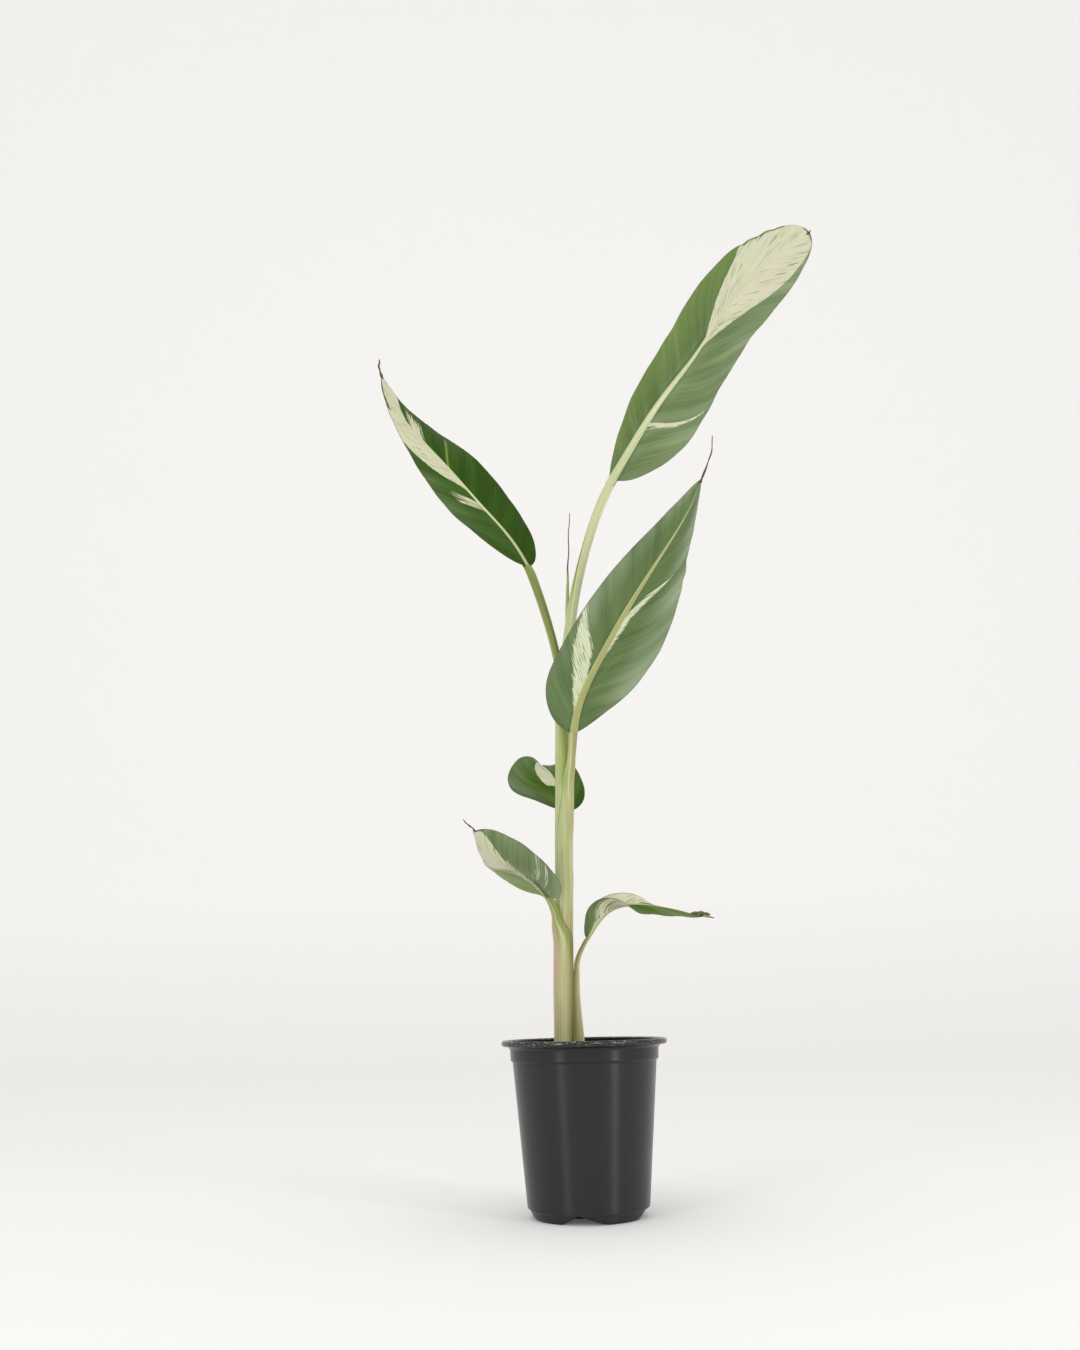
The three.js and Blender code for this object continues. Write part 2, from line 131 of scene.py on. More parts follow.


# The paper is lit from behind too where it rises, so that it stays evenly white. Faint shadows are painted
# on it as slow blotches of a warmer grey. A pattern without a place is stretched over the box of its own
# object.
paper, tree, shader = new_material("backlit_white_paper", Roughness=0.9)
faint_painted_shadows = add_node(tree, "ShaderNodeTexNoise", {"Scale": FLOOR_WIDTH / PAPER_SHADOW_BLOTCH, "Detail": 1.0})
tint = add_node(tree, "ShaderNodeMix", {"Factor": faint_painted_shadows, "A": "#ebe9e7", "B": "#f4f4f3"}, data_type="RGBA")
place = add_node(tree, "ShaderNodeTexCoord").outputs["Object"]
height = add_node(tree, "ShaderNodeSeparateXYZ", {"Vector": place}).outputs["Z"]
glow = add_node(
    tree, "ShaderNodeMapRange", {"Value": height, "From Max": 0.6, "To Min": 0.08, "To Max": 0.16}
)
fill_inputs(tree, shader, {"Base Color": tint, "Emission Color": tint, "Emission Strength": glow})

sweep_line = [(SWEEP_FRONT, 0.0), (SWEEP_BEND_AT, 0.0)]
for k in range(1, SWEEP_BEND_STEPS + 1):
    angle = math.pi / 2 * k / SWEEP_BEND_STEPS
    y = SWEEP_BEND_AT + SWEEP_BEND_RADIUS * math.sin(angle)
    sweep_line.append((y, SWEEP_BEND_RADIUS * (1 - math.cos(angle))))
sweep_line.append((SWEEP_BEND_AT + SWEEP_BEND_RADIUS, SWEEP_TOP))
sweep_sides = (-FLOOR_WIDTH / 2, FLOOR_WIDTH / 2)
sweep_points = [(x * 1000, y * 1000, z * 1000) for y, z in sweep_line for x in sweep_sides]
sweep_faces = [(2 * i, 2 * i + 1, 2 * i + 3, 2 * i + 2) for i in range(len(sweep_line) - 1)]
floor = new_mesh_object("floor", sweep_points, sweep_faces, [paper])

world = bpy.data.worlds.new("white_room")
bpy.context.scene.world = world
world.use_nodes = True
fill_inputs(world.node_tree, world.node_tree.nodes["Background"], {"Color": "#f6f5f4", "Strength": 0.9})


def add_soft_box(name, place, aim, width, height, watts):
    """A rectangular soft light that is turned towards its aim."""
    light = bpy.data.lights.new(name, "AREA")
    light.shape = "RECTANGLE"
    light.size = width
    light.size_y = height
    light.energy = watts
    box = bpy.data.objects.new(name, light)
    box.location = place
    box.rotation_euler = (Vector(aim) - Vector(place)).to_track_quat("-Z", "Y").to_euler()
    bpy.context.scene.collection.objects.link(box)


add_soft_box("soft_box_right", (1.45, -1.37, 0.64), (0, 0, 0.42), width=0.22, height=1.1, watts=9.5)
add_soft_box("soft_box_left", (-1.29, -1.58, 0.64), (0, 0, 0.42), width=0.26, height=1.1, watts=6.5)
add_soft_box("soft_box_above", (-0.7, -1.1, 2.5), (0, 0, 0.5), width=1.8, height=1.4, watts=6)
bpy.context.scene.view_settings.view_transform = "Standard"

# Pot
# A nursery pot of black polypropylene, injection moulded with a satin face: a rolled lip, a band down to
# the ring that it stacks on, a plain tapered wall, and a foot cut by four grooves that let water drain.
# Its sizes, and those of all pieces that follow, are in millimetres.
POT_HEIGHT = 149
LIP_RADIUS = 75.2
RING_RADIUS = 66.8
RING_HEIGHT = 131.3
WALL_TOP_RADIUS = 65.2
WALL_FOOT_RADIUS = 53.9
FOOT_STEP = 7.8
FOOT_RADIUS = 49.6
POT_WALL = 1.6
POT_FLOOR = 9.6
GROOVE_COUNT = 4
GROOVE_SIDES = (-20, 24)
GROOVE_HEIGHT = 7.2
GROOVE_INNER = 15
GROOVE_HEADING = -98
GROOVE_PEAK = -4
GROOVE_FADE_TOP = POT_FLOOR - 1.2
POT_SIDES = 192
LIP_RINGS = 7
# The finishes: grain of the moulded face, drawn four times as coarse so that it shows, blotches of the
# water film, width and height of a scuff, and stains in the painted shade inside. Scuffs and polish set in
# between two depths below the top.
GRAIN = 0.4
GRAIN_COARSER = 4
FILM_BLOTCH = 35.714
SCUFF_WIDTH = 3.6364
SCUFF_HEIGHT = 0.66667
STAIN = 2.5067
SCUFFED_BAND = (6, 1)
POLISHED_BAND = (8, 5)


def loft(rings):
    """Points and faces of a closed skin through rings of equal point count, facing outwards."""
    rings = np.asarray(rings)
    count, around = rings.shape[:2]
    index = np.arange(count * around).reshape(count, around)
    nearer, further = index[:-1], index[1:]
    sides = np.stack(
        [nearer, np.roll(nearer, -1, 1), np.roll(further, -1, 1), further], axis=-1
    ).reshape(-1, 4)
    points = rings.reshape(-1, 3)
    a, b, c, d = (points[sides[:, k]] for k in range(4))
    volume = np.einsum("ij,ij->", np.cross(a, b), c) + np.einsum("ij,ij->", np.cross(a, c), d)
    faces = sides.tolist() + [index[0][::-1].tolist(), index[-1].tolist()]
    if volume < 0:
        faces = [face[::-1] for face in faces]
    return points, faces


def rounded(profile, radius, steps=4):
    """The profile with each corner made a short curve that starts radius, or 0.45 of a side, away from it."""
    made = [profile[0]]
    for before, corner, after in zip(profile, profile[1:], profile[2:]):
        before, corner, after = (np.array(p, float) for p in (before, corner, after))
        back, on = before - corner, after - corner
        start = corner + back * min(radius, np.linalg.norm(back) * 0.45) / np.linalg.norm(back)
        end = corner + on * min(radius, np.linalg.norm(on) * 0.45) / np.linalg.norm(on)
        for k in range(steps + 1):
            t = k / steps
            made.append(tuple((1 - t) ** 2 * start + 2 * t * (1 - t) * corner + t * t * end))
    return made + [profile[-1]]


def inside_radius(z):
    """Radius of the pot's inner face at a height."""
    share = (z - FOOT_STEP) / (RING_HEIGHT - FOOT_STEP)
    return WALL_FOOT_RADIUS + (WALL_TOP_RADIUS - WALL_FOOT_RADIUS) * share - POT_WALL


def turned(profile, sides):
    """Rings of a profile of (radius, height) points turned about the pot's axis."""
    angles = np.linspace(0, 2 * math.pi, sides, endpoint=False)
    x, y = np.cos(angles), np.sin(angles)
    return np.array([np.stack([radius * x, radius * y, z + 0 * x], -1) for radius, z in profile])


def groove_rise(x, y):
    """How high the drainage grooves arch over a place on the pot's underside."""
    rise = np.zeros_like(x)
    for k in range(GROOVE_COUNT):
        heading = math.radians(GROOVE_HEADING + 360 * k / GROOVE_COUNT)
        out = x * math.cos(heading) + y * math.sin(heading)
        across = y * math.cos(heading) - x * math.sin(heading)
        steep = (across - GROOVE_SIDES[0]) / (GROOVE_PEAK - GROOVE_SIDES[0])
        gentle = (GROOVE_SIDES[1] - across) / (GROOVE_SIDES[1] - GROOVE_PEAK)
        share = np.clip(np.minimum(steep, gentle), 0, 1)
        arch = GROOVE_HEIGHT * (0.35 * np.sin(np.pi / 2 * share) ** 2 + 0.65 * share**1.5)
        rise = np.maximum(rise, arch * np.clip((out - GROOVE_INNER) / 2, 0, 1))
    return rise


underside = [(radius, 0.0) for radius in np.linspace(1, FOOT_RADIUS - 1.6, 30)]
wall_profile = rounded(
    [
        (FOOT_RADIUS - 1.5, 0.0),
        (FOOT_RADIUS, 1.6),
        (WALL_FOOT_RADIUS - 1.7, FOOT_STEP - 0.6),
        (WALL_FOOT_RADIUS, FOOT_STEP + 0.4),
        (WALL_TOP_RADIUS, RING_HEIGHT - 0.9),
        (RING_RADIUS, RING_HEIGHT),
        (RING_RADIUS + 0.3, RING_HEIGHT + 1.3),
        (RING_RADIUS + 0.2, RING_HEIGHT + 2.6),
        (LIP_RADIUS - 7.8, POT_HEIGHT - 7.6),
        (LIP_RADIUS - 5.4, POT_HEIGHT - 5.4),
        (LIP_RADIUS - 0.9, POT_HEIGHT - 5.0),
        (LIP_RADIUS, POT_HEIGHT - 3.4),
        (LIP_RADIUS - 0.1, POT_HEIGHT - 1.2),
        (LIP_RADIUS - 1.3, POT_HEIGHT),
        (LIP_RADIUS - 3.8, POT_HEIGHT - 0.2),
        (LIP_RADIUS - 6.0, POT_HEIGHT - 2.2),
        (LIP_RADIUS - 9.6, POT_HEIGHT - 7.4),
        (RING_RADIUS - 1.4, RING_HEIGHT + 1.2),
        (inside_radius(RING_HEIGHT) - 0.2, RING_HEIGHT - 1),
        (inside_radius(POT_FLOOR + 1.4), POT_FLOOR + 1.4),
        (inside_radius(POT_FLOOR) - 1.4, POT_FLOOR),
    ],
    1.1,
)
pot_rings = turned(underside + wall_profile + [(1, POT_FLOOR)], POT_SIDES)
low = pot_rings[..., 2] < POT_FLOOR - 0.5
foot_share = np.clip((GROOVE_FADE_TOP - pot_rings[..., 2]) / GROOVE_FADE_TOP, 0, 1)
pot_rings[..., 2] += np.where(low, groove_rise(pot_rings[..., 0], pot_rings[..., 1]) * foot_share, 0)

# Carbon black in the plastic gives a deep grey with a satin sheen, and the mould leaves a fine grain.
# Handling leaves pale scuffs on the lip, and dried water leaves a faint dusty film on the wall.
polypropylene, tree, shader = new_material(
    "black_polypropylene_moulded_satin", IOR=1.49, Anisotropic_Rotation=0.25, Specular_IOR_Level=0.42
)
place = add_node(tree, "ShaderNodeTexCoord").outputs["Object"]
height = add_node(tree, "ShaderNodeSeparateXYZ", {"Vector": place}).outputs["Z"]
film = add_node(
    tree,
    "ShaderNodeTexNoise",
    {"Vector": place, "Scale": 1000 / FILM_BLOTCH, "Detail": 5.0, "Roughness": 0.6},
)
scuff_scale = (1000 / SCUFF_WIDTH, 1000 / SCUFF_WIDTH, 1000 / SCUFF_HEIGHT)
scuffs = add_node(tree, "ShaderNodeMapping", {"Vector": place, "Scale": scuff_scale})
scuffs = add_node(tree, "ShaderNodeTexNoise", {"Vector": scuffs, "Scale": 1.0, "Detail": 2.0})
scuffs = add_node(
    tree, "ShaderNodeMapRange", {"Value": scuffs, "From Min": 0.6, "From Max": 0.68, "To Max": 0.8}
)
near_lip, polish = (
    add_node(
        tree,
        "ShaderNodeMapRange",
        {"Value": height, "From Min": (POT_HEIGHT - low) / 1000, "From Max": (POT_HEIGHT - high) / 1000},
    )
    for low, high in (SCUFFED_BAND, POLISHED_BAND)
)
scuffed = add_node(tree, "ShaderNodeMath", {0: scuffs, 1: near_lip}, operation="MULTIPLY")
plastic = add_node(tree, "ShaderNodeMix", {"Factor": film, "A": "#1a191b", "B": "#232224"}, data_type="RGBA")
worn = add_node(tree, "ShaderNodeMix", {"Factor": scuffed, "A": plastic, "B": "#b9b4ac"}, data_type="RGBA")
satin = add_node(
    tree,
    "ShaderNodeMapRange",
    {"Value": film, "From Min": 0.3, "From Max": 0.7, "To Min": 0.36, "To Max": 0.44},
)
# The wall is drawn off the mould upwards, which spreads its sheen up and down; the lip is polished.
drawn = add_node(tree, "ShaderNodeMapRange", {"Value": polish, "To Min": 0.93, "To Max": 0.0})
smoothed = add_node(tree, "ShaderNodeMix", {"Factor": polish, "A": satin, "B": 0.24}, data_type="FLOAT")
grain = add_node(
    tree, "ShaderNodeTexNoise", {"Vector": place, "Scale": 1000 / GRAIN / GRAIN_COARSER, "Detail": 2.0}
)
grain = add_node(tree, "ShaderNodeBump", {"Height": grain, "Strength": 0.12, "Distance": 0.0001})
fill_inputs(tree, shader, {"Base Color": worn, "Anisotropic": drawn, "Roughness": smoothed, "Normal": grain})

# Inside, the plastic is painted near black and duller than outside, as painted shade for the pot's dark
# inside, with faint stains of dried potting water.
pot_inside_painted_shade, tree, shader = new_material(
    "black_polypropylene_inside_painted_shade", IOR=1.49, Roughness=0.7, Specular_IOR_Level=0.08
)
stains = add_node(tree, "ShaderNodeTexNoise", {"Scale": 2 * LIP_RADIUS / STAIN, "Detail": 4.0})
tint = add_node(tree, "ShaderNodeMix", {"Factor": stains, "A": "#060606", "B": "#100f0f"}, data_type="RGBA")
fill_inputs(tree, shader, {"Base Color": tint})

# The inside's painted shade starts where the lip is rolled in, a few rings past its top.
points, faces = loft(pot_rings)
inside_from = int(np.argmax(pot_rings[:, 0, 2])) + LIP_RINGS
ring_of_face = np.repeat(np.arange(len(pot_rings) - 1), POT_SIDES)
pot_faces = [int(ring >= inside_from) for ring in ring_of_face] + [0, 1]
pot = new_mesh_object("nursery_pot", points, faces, [polypropylene, pot_inside_painted_shade], pot_faces, sharp_over=60)
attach(pot, "root")
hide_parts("pot")

# Potting mix
# Moist peat and bark, crumbled and pressed lightly round the stem, with its top below the pot's ring and
# lowest near the wall, and with loose bark chips and white perlite lying on it.
MIX_TOP = 126
MIX_DIP = 4
MIX_OFF_WALL = 0.4
HEAP_HEIGHT = 1.2
HEAP_SPREAD = 17
MIX_SIDES = 180
MIX_TOP_RINGS = 64
CLOD_WIDTH = 7
CLOD_HEIGHT = 1.5
CLODS_FADE = 6
CLODS_SUNK = 0.4
CHIP_COUNT = 190
CHIP_SIZES = (1.0, 2.6)
PERLITE_COUNT = 70
PERLITE_SIZES = (0.9, 1.7)
CHIPS_OFF_WALL = 7
CHIPS_OFF_STEM = 15
STEM_FOOT_X = -18.8
# What the patterns show: crumbs of peat, fibres of bark and pores of perlite.
CRUMB = 3.8462
BARK_FIBRE = 0.315575
PERLITE_PORE = 0.140256

mix_side = [
    (1.0, POT_FLOOR + 0.3),
    (inside_radius(POT_FLOOR) - 2.6, POT_FLOOR + 0.3),
    (inside_radius(POT_FLOOR + 2) - MIX_OFF_WALL, POT_FLOOR + 2),
    (inside_radius(MIX_TOP - MIX_DIP) - MIX_OFF_WALL, MIX_TOP - MIX_DIP),
]
top_radii = np.linspace(inside_radius(MIX_TOP) - 2.0, 1.0, MIX_TOP_RINGS)
mix_top = [(radius, MIX_TOP - 1.0 + HEAP_HEIGHT * math.cos(radius / HEAP_SPREAD)) for radius in top_radii]
mix_rings = turned(mix_side + mix_top, MIX_SIDES)
for ring in mix_rings[len(mix_side) :]:
    for point in ring:
        clods = noise.fractal(Vector(point) / CLOD_WIDTH, 0.7, 2.1, 4)
        edge = min(1.0, (inside_radius(MIX_TOP) - math.hypot(point[0], point[1])) / CLODS_FADE)
        point[2] += CLOD_HEIGHT * clods * edge - CLODS_SUNK

mix_points, mix_faces = loft(mix_rings)
mix_points = mix_points.tolist()
mix_materials = [0] * len(mix_faces)

ball = bmesh.new()
bmesh.ops.create_icosphere(ball, subdivisions=2, radius=1)
ball_points = np.array([vertex.co for vertex in ball.verts])
ball_faces = np.array([[vertex.index for vertex in face.verts] for face in ball.faces])
ball.free()

draw = random.Random(7)
for k in range(CHIP_COUNT + PERLITE_COUNT):
    perlite = k >= CHIP_COUNT
    reach = (inside_radius(MIX_TOP) - CHIPS_OFF_WALL) * math.sqrt(draw.random())
    turn = draw.uniform(0, 2 * math.pi)
    middle = np.array([reach * math.cos(turn), reach * math.sin(turn), MIX_TOP + 0.1])
    if math.hypot(middle[0] - STEM_FOOT_X, middle[1]) < CHIPS_OFF_STEM:
        continue
    size = draw.uniform(*(PERLITE_SIZES if perlite else CHIP_SIZES))
    stretch = np.array([size, size * draw.uniform(0.7, 1.0), size * draw.uniform(0.5, 0.8)])
    if not perlite:
        stretch = np.array([size * draw.uniform(1.2, 2.2), size, size * draw.uniform(0.35, 0.6)])
    spin = Matrix.Rotation(draw.uniform(0, 6.28), 3, "Z") @ Matrix.Rotation(draw.uniform(-0.4, 0.4), 3, "X")
    lumps = np.array([1 + 0.35 * noise.noise(Vector(p) * 1.7 + Vector((k, 0, 0))) for p in ball_points])
    first = len(mix_points)
    mix_points += ((ball_points * lumps[:, None] * stretch) @ np.array(spin).T + middle).tolist()
    mix_faces += (ball_faces + first).tolist()
    mix_materials += [2 if perlite else 1] * len(ball_faces)

# Peat is near black when moist, with rusty fibre; bark is warm brown; perlite is dull white, and its pores
# are too fine to show one by one.
peat, tree, shader = new_material("moist_peat_and_bark_mix", Roughness=0.95)
place = add_node(tree, "ShaderNodeTexCoord").outputs["Object"]
crumbs = add_node(
    tree, "ShaderNodeTexNoise", {"Vector": place, "Scale": 1000 / CRUMB, "Detail": 6.0, "Roughness": 0.7}
)
tint = add_node(tree, "ShaderNodeValToRGB", {"Fac": crumbs})
for element, share, code in zip(tint.color_ramp.elements, (0.36, 0.68), ("#17110d", "#5a4331")):
    element.position = share
    element.color = colour(code)
bump = add_node(tree, "ShaderNodeBump", {"Height": crumbs, "Strength": 0.8, "Distance": 0.001})
fill_inputs(tree, shader, {"Base Color": tint, "Normal": bump})

bark, tree, shader = new_material("composted_pine_bark", Roughness=0.85)
mix_width = 2 * inside_radius(MIX_TOP)
fibre = add_node(tree, "ShaderNodeTexNoise", {"Scale": mix_width / BARK_FIBRE, "Detail": 3.0})
tint = add_node(tree, "ShaderNodeMix", {"Factor": fibre, "A": "#33221a", "B": "#7a583f"}, data_type="RGBA")
fill_inputs(tree, shader, {"Base Color": tint})

perlite_glass, tree, shader = new_material("expanded_perlite", Roughness=0.8)
pores = add_node(tree, "ShaderNodeTexVoronoi", {"Scale": mix_width / PERLITE_PORE})
tint = add_node(tree, "ShaderNodeMix", {"Factor": pores, "A": "#b9b2a4", "B": "#e6e2d8"}, data_type="RGBA")
fill_inputs(tree, shader, {"Base Color": tint})

potting_mix = new_mesh_object(
    "potting_mix", mix_points, mix_faces, [peat, bark, perlite_glass], mix_materials, sharp_over=80
)
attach(potting_mix, "root")
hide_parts("potting_soil")

# Pseudostem
# The false stem of a banana: leaf sheaths rolled round each other, smooth and watery, pale yellow-green
# with fine lengthwise fibres. It leans a little, and forks where the two youngest leaves part.
GAP = 0.3
STEM_FOOT = MIX_TOP + GAP
STEM_FORK = 505
STEM_FORK_X = -8.4
STEM_RADII = [9.2, 8.7, 8.7, 8.8]
STEM_DOME = 6
STEM_SIDES = 120
# The tissue's patterns run on a round rod of this radius.
PATTERN_RADIUS = 9
RIDGE_SPACING = 1.4
RIDGE_HEIGHT = 0.03
MARGIN_STEP = 0.25
MARGIN_DARK = 0.6
# Margins of rolled sheaths that show as low steps, each from one height and heading to another.
STEM_MARGINS = [
    {"heights": (128, 152), "headings": (-27, -33)},
    {"heights": (236, 338), "headings": (-100, -108)},
    {"heights": (127, 345), "headings": (150, 118)},
    {"heights": (350, 503), "headings": (34, 60)},
]
# Long stripes of other tissue: middle heading, half width in degrees, heights, and strength.
STEM_STRIPES = {
    "green": [
        (-97, 32, 372, 520, 1.0), (-75, 24, 190, 250, 0.25), (40, 40, 180, 480, 0.4),
        (150, 30, 130, 330, 0.35), (-160, 18, 250, 420, 0.3), (-40, 30, 330, 440, 0.3),
    ],
    "khaki": [
        (-66, 17, 120, 372, 0.5), (-28, 26, 120, 225, 0.8), (-118, 30, 100, 190, 0.4),
        (95, 26, 120, 400, 0.45), (-5, 20, 210, 330, 0.3), (-70, 60, 100, 150, 0.3),
        (-40, 40, 320, 445, 0.55), (-90, 90, 100, 275, 0.42),
    ],
    "blush": [
        (-145, 50, 192, 262, 0.75), (-150, 40, 120, 215, 0.3), (170, 30, 150, 240, 0.5),
        (-20, 24, 110, 210, 0.5),
    ],
    "line": [(-44, 27, 100, 246, 0.55)],
}


def along(knots, t):
    """Value at t, from 0 to 1, of a smooth curve through evenly spaced knots."""
    t = np.asarray(t, float)
    if np.isscalar(knots):
        return np.full_like(t, knots)
    knots = np.asarray(knots, float)
    last = len(knots) - 1
    x = np.clip(t, 0, 1) * last
    i = np.minimum(np.floor(x).astype(int), last - 1)
    f = x - i
    a, b, c, d = (knots[np.clip(i + k, 0, last)] for k in (-1, 0, 1, 2))
    return 0.5 * (2 * b + (c - a) * f + (2 * a - 5 * b + 4 * c - d) * f**2 + (3 * b - a - 3 * c + d) * f**3)


def smooth_step(low, high, x):
    """A smooth rise from 0 where x is low to 1 where it is high."""
    t = np.clip((np.asarray(x, float) - low) / (high - low), 0, 1)
    return t * t * (3 - 2 * t)


def striped(stripes, heading, height):
    """Strength of a set of long stripes at places on the stem, fading over their edges and ends."""
    total = 0 * (heading + height)
    for middle, half, low, high, strength in stripes:
        apart = np.abs((heading - middle + 180) % 360 - 180)
        ends = smooth_step(low, low + 18, height) * (1 - smooth_step(high - 18, high, height))
        total = total + strength * (1 - smooth_step(0.2 * half, half, apart)) * ends
    return np.clip(total, 0, 1)


def stem_fields(heading, height, line):
    """Where a place is on the stem, for the pattern of fibres, and how much of each tissue is there."""
    turn = np.radians(heading)
    fields = {key: striped(stripes, heading, height) for key, stripes in STEM_STRIPES.items()}
    fields["place"] = np.stack(
        [PATTERN_RADIUS * np.cos(turn), PATTERN_RADIUS * np.sin(turn), height + 0 * heading], -1
    )
    fields["green"] = 0.42 + 0.5 * fields["green"]
    fields["khaki"] = 0.12 + fields["khaki"]
    fields["line"] = line + fields["line"]
    fields["wax_and_painted_light"] = 0 * (heading + height)
    return fields


def stem_at(z):
    """Centre and radius of the pseudostem at a height."""
    t = (np.asarray(z, float) - STEM_FOOT) / (STEM_FORK - STEM_FOOT)
    centre = np.stack([STEM_FOOT_X + (STEM_FORK_X - STEM_FOOT_X) * t, 0 * t, z + 0 * t], -1)
    return centre, along(STEM_RADII, t)


def fibre_ridges(angle, along_limb):
    """Height of the low lengthwise ridges of the sheath fibres, which wander slowly, at a heading."""
    around = np.radians(angle) * PATTERN_RADIUS
    phase = 2 * math.pi * around / RIDGE_SPACING + 1.3 * np.sin(along_limb / 37) + 0.8 * np.sin(around * 0.9)
    return RIDGE_HEIGHT * np.sin(phase) * (0.6 + 0.4 * np.sin(around * 1.7 + along_limb / 90))


plain_heights = np.linspace(STEM_FOOT, STEM_FORK - STEM_DOME, 190)
dome_heights = np.linspace(STEM_FORK - STEM_DOME + 1, STEM_FORK, 8)
heights, angles = np.meshgrid(
    np.concatenate([plain_heights, dome_heights]),
    np.linspace(0, 360, STEM_SIDES, endpoint=False),
    indexing="ij",
)
centres, radii = stem_at(heights)
# The ridges stay just under the stem's radius.
relief = fibre_ridges(angles, heights) - 0.05
margin_line = np.zeros_like(relief)
for margin in STEM_MARGINS:
    low, high = margin["heights"]
    share = (heights - low) / (high - low)
    heading = margin["headings"][0] + (margin["headings"][1] - margin["headings"][0]) * share
    ends = smooth_step(-0.02, 0.12, share) * (1 - smooth_step(0.88, 1.02, share))
    past = (angles - heading + 180) % 360 - 180
    step = np.where(past > -2, np.exp(-np.abs(past) / 50), 0) * smooth_step(-2, 1.5, past)
    relief -= MARGIN_STEP * step * ends
    margin_line = np.maximum(margin_line, np.exp(-((past - 1) / 3.5) ** 2) * ends * MARGIN_DARK)
into_dome = np.clip(heights - (STEM_FORK - STEM_DOME), 0, STEM_DOME) / (STEM_DOME + 0.6)
dome = np.sqrt(np.clip(1 - into_dome**2, 0.1, 1))
out = np.stack([np.cos(np.radians(angles)), np.sin(np.radians(angles)), 0 * angles], -1)
stem_rings = centres + out * ((radii + relief) * dome)[..., None]

# Smooth watery sheath: pale, green and khaki tissue in soft stripes, dark lines at its margins, and a
# faint blush of pink low down. Fibres are 0.5 mm wide on the plant; at 1.3 mm they still show in the
# render. Broad bands of greener tissue are about 5 mm wide and 260 mm long.
stem_tissue, tree, shader = new_material(
    "rolled_banana_sheath", IOR=1.4, Roughness=0.38, Specular_IOR_Level=0.35
)
place = add_node(tree, "ShaderNodeAttribute", attribute_name="place").outputs["Vector"]
green, khaki, blush, line, wax_and_painted_light = (
    add_node(tree, "ShaderNodeAttribute", attribute_name=key).outputs["Fac"]
    for key in ("green", "khaki", "blush", "line", "wax_and_painted_light")
)
fibres = add_node(tree, "ShaderNodeMapping", {"Vector": place, "Scale": (1 / 1.3, 1 / 1.3, 1 / 90)})
fibres = add_node(tree, "ShaderNodeTexNoise", {"Vector": fibres, "Scale": 1.0, "Detail": 3.0})
bands = add_node(tree, "ShaderNodeMapping", {"Vector": place, "Scale": (1 / 5, 1 / 5, 1 / 260)})
bands = add_node(tree, "ShaderNodeTexNoise", {"Vector": bands, "Scale": 1.0, "Detail": 2.0})
fine, broad = (
    add_node(
        tree,
        "ShaderNodeMapRange",
        {"Value": pattern, "From Min": 0.3, "From Max": 0.7, "To Min": low, "To Max": high},
    )
    for pattern, low, high in ((fibres, -0.18, 0.18), (bands, -0.2, 0.3))
)
streaked = add_node(tree, "ShaderNodeMath", {0: fine, 1: broad}, operation="ADD")
green = add_node(tree, "ShaderNodeMath", {0: streaked, 1: green}, operation="ADD", use_clamp=True)
khaki = add_node(tree, "ShaderNodeMath", {0: fine, 1: khaki}, operation="ADD", use_clamp=True)
tint = "#d6d8b0"
# The wax layer is pale waxy tissue, and on the lower part of a pale stalk it is also painted light.
layers = [(wax_and_painted_light, "#e6edb8"), (green, "#8ba04c"), (khaki, "#aaa273"), (blush, "#c4a18c"), (line, "#77703a")]
for share, other in layers:
    tint = add_node(tree, "ShaderNodeMix", {"Factor": share, "A": tint, "B": other}, data_type="RGBA")
bump = add_node(tree, "ShaderNodeBump", {"Height": fibres, "Strength": 0.3, "Distance": 0.0003})
fill_inputs(tree, shader, {"Base Color": tint, "Normal": bump})

points, faces = loft(stem_rings)
fields = stem_fields(angles, heights, margin_line)
pseudostem = new_mesh_object("rolled_pseudostem", points, faces, [stem_tissue], fields=fields)
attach(pseudostem, "root")
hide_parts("pseudostem")

# Leaf stalks
# Each leaf's stalk is one limb: a sheath that clasps the pseudostem, and above it a petiole, rounded below
# and hollowed to a channel on its upper face. They are the same watery tissue, greener and ribbed.

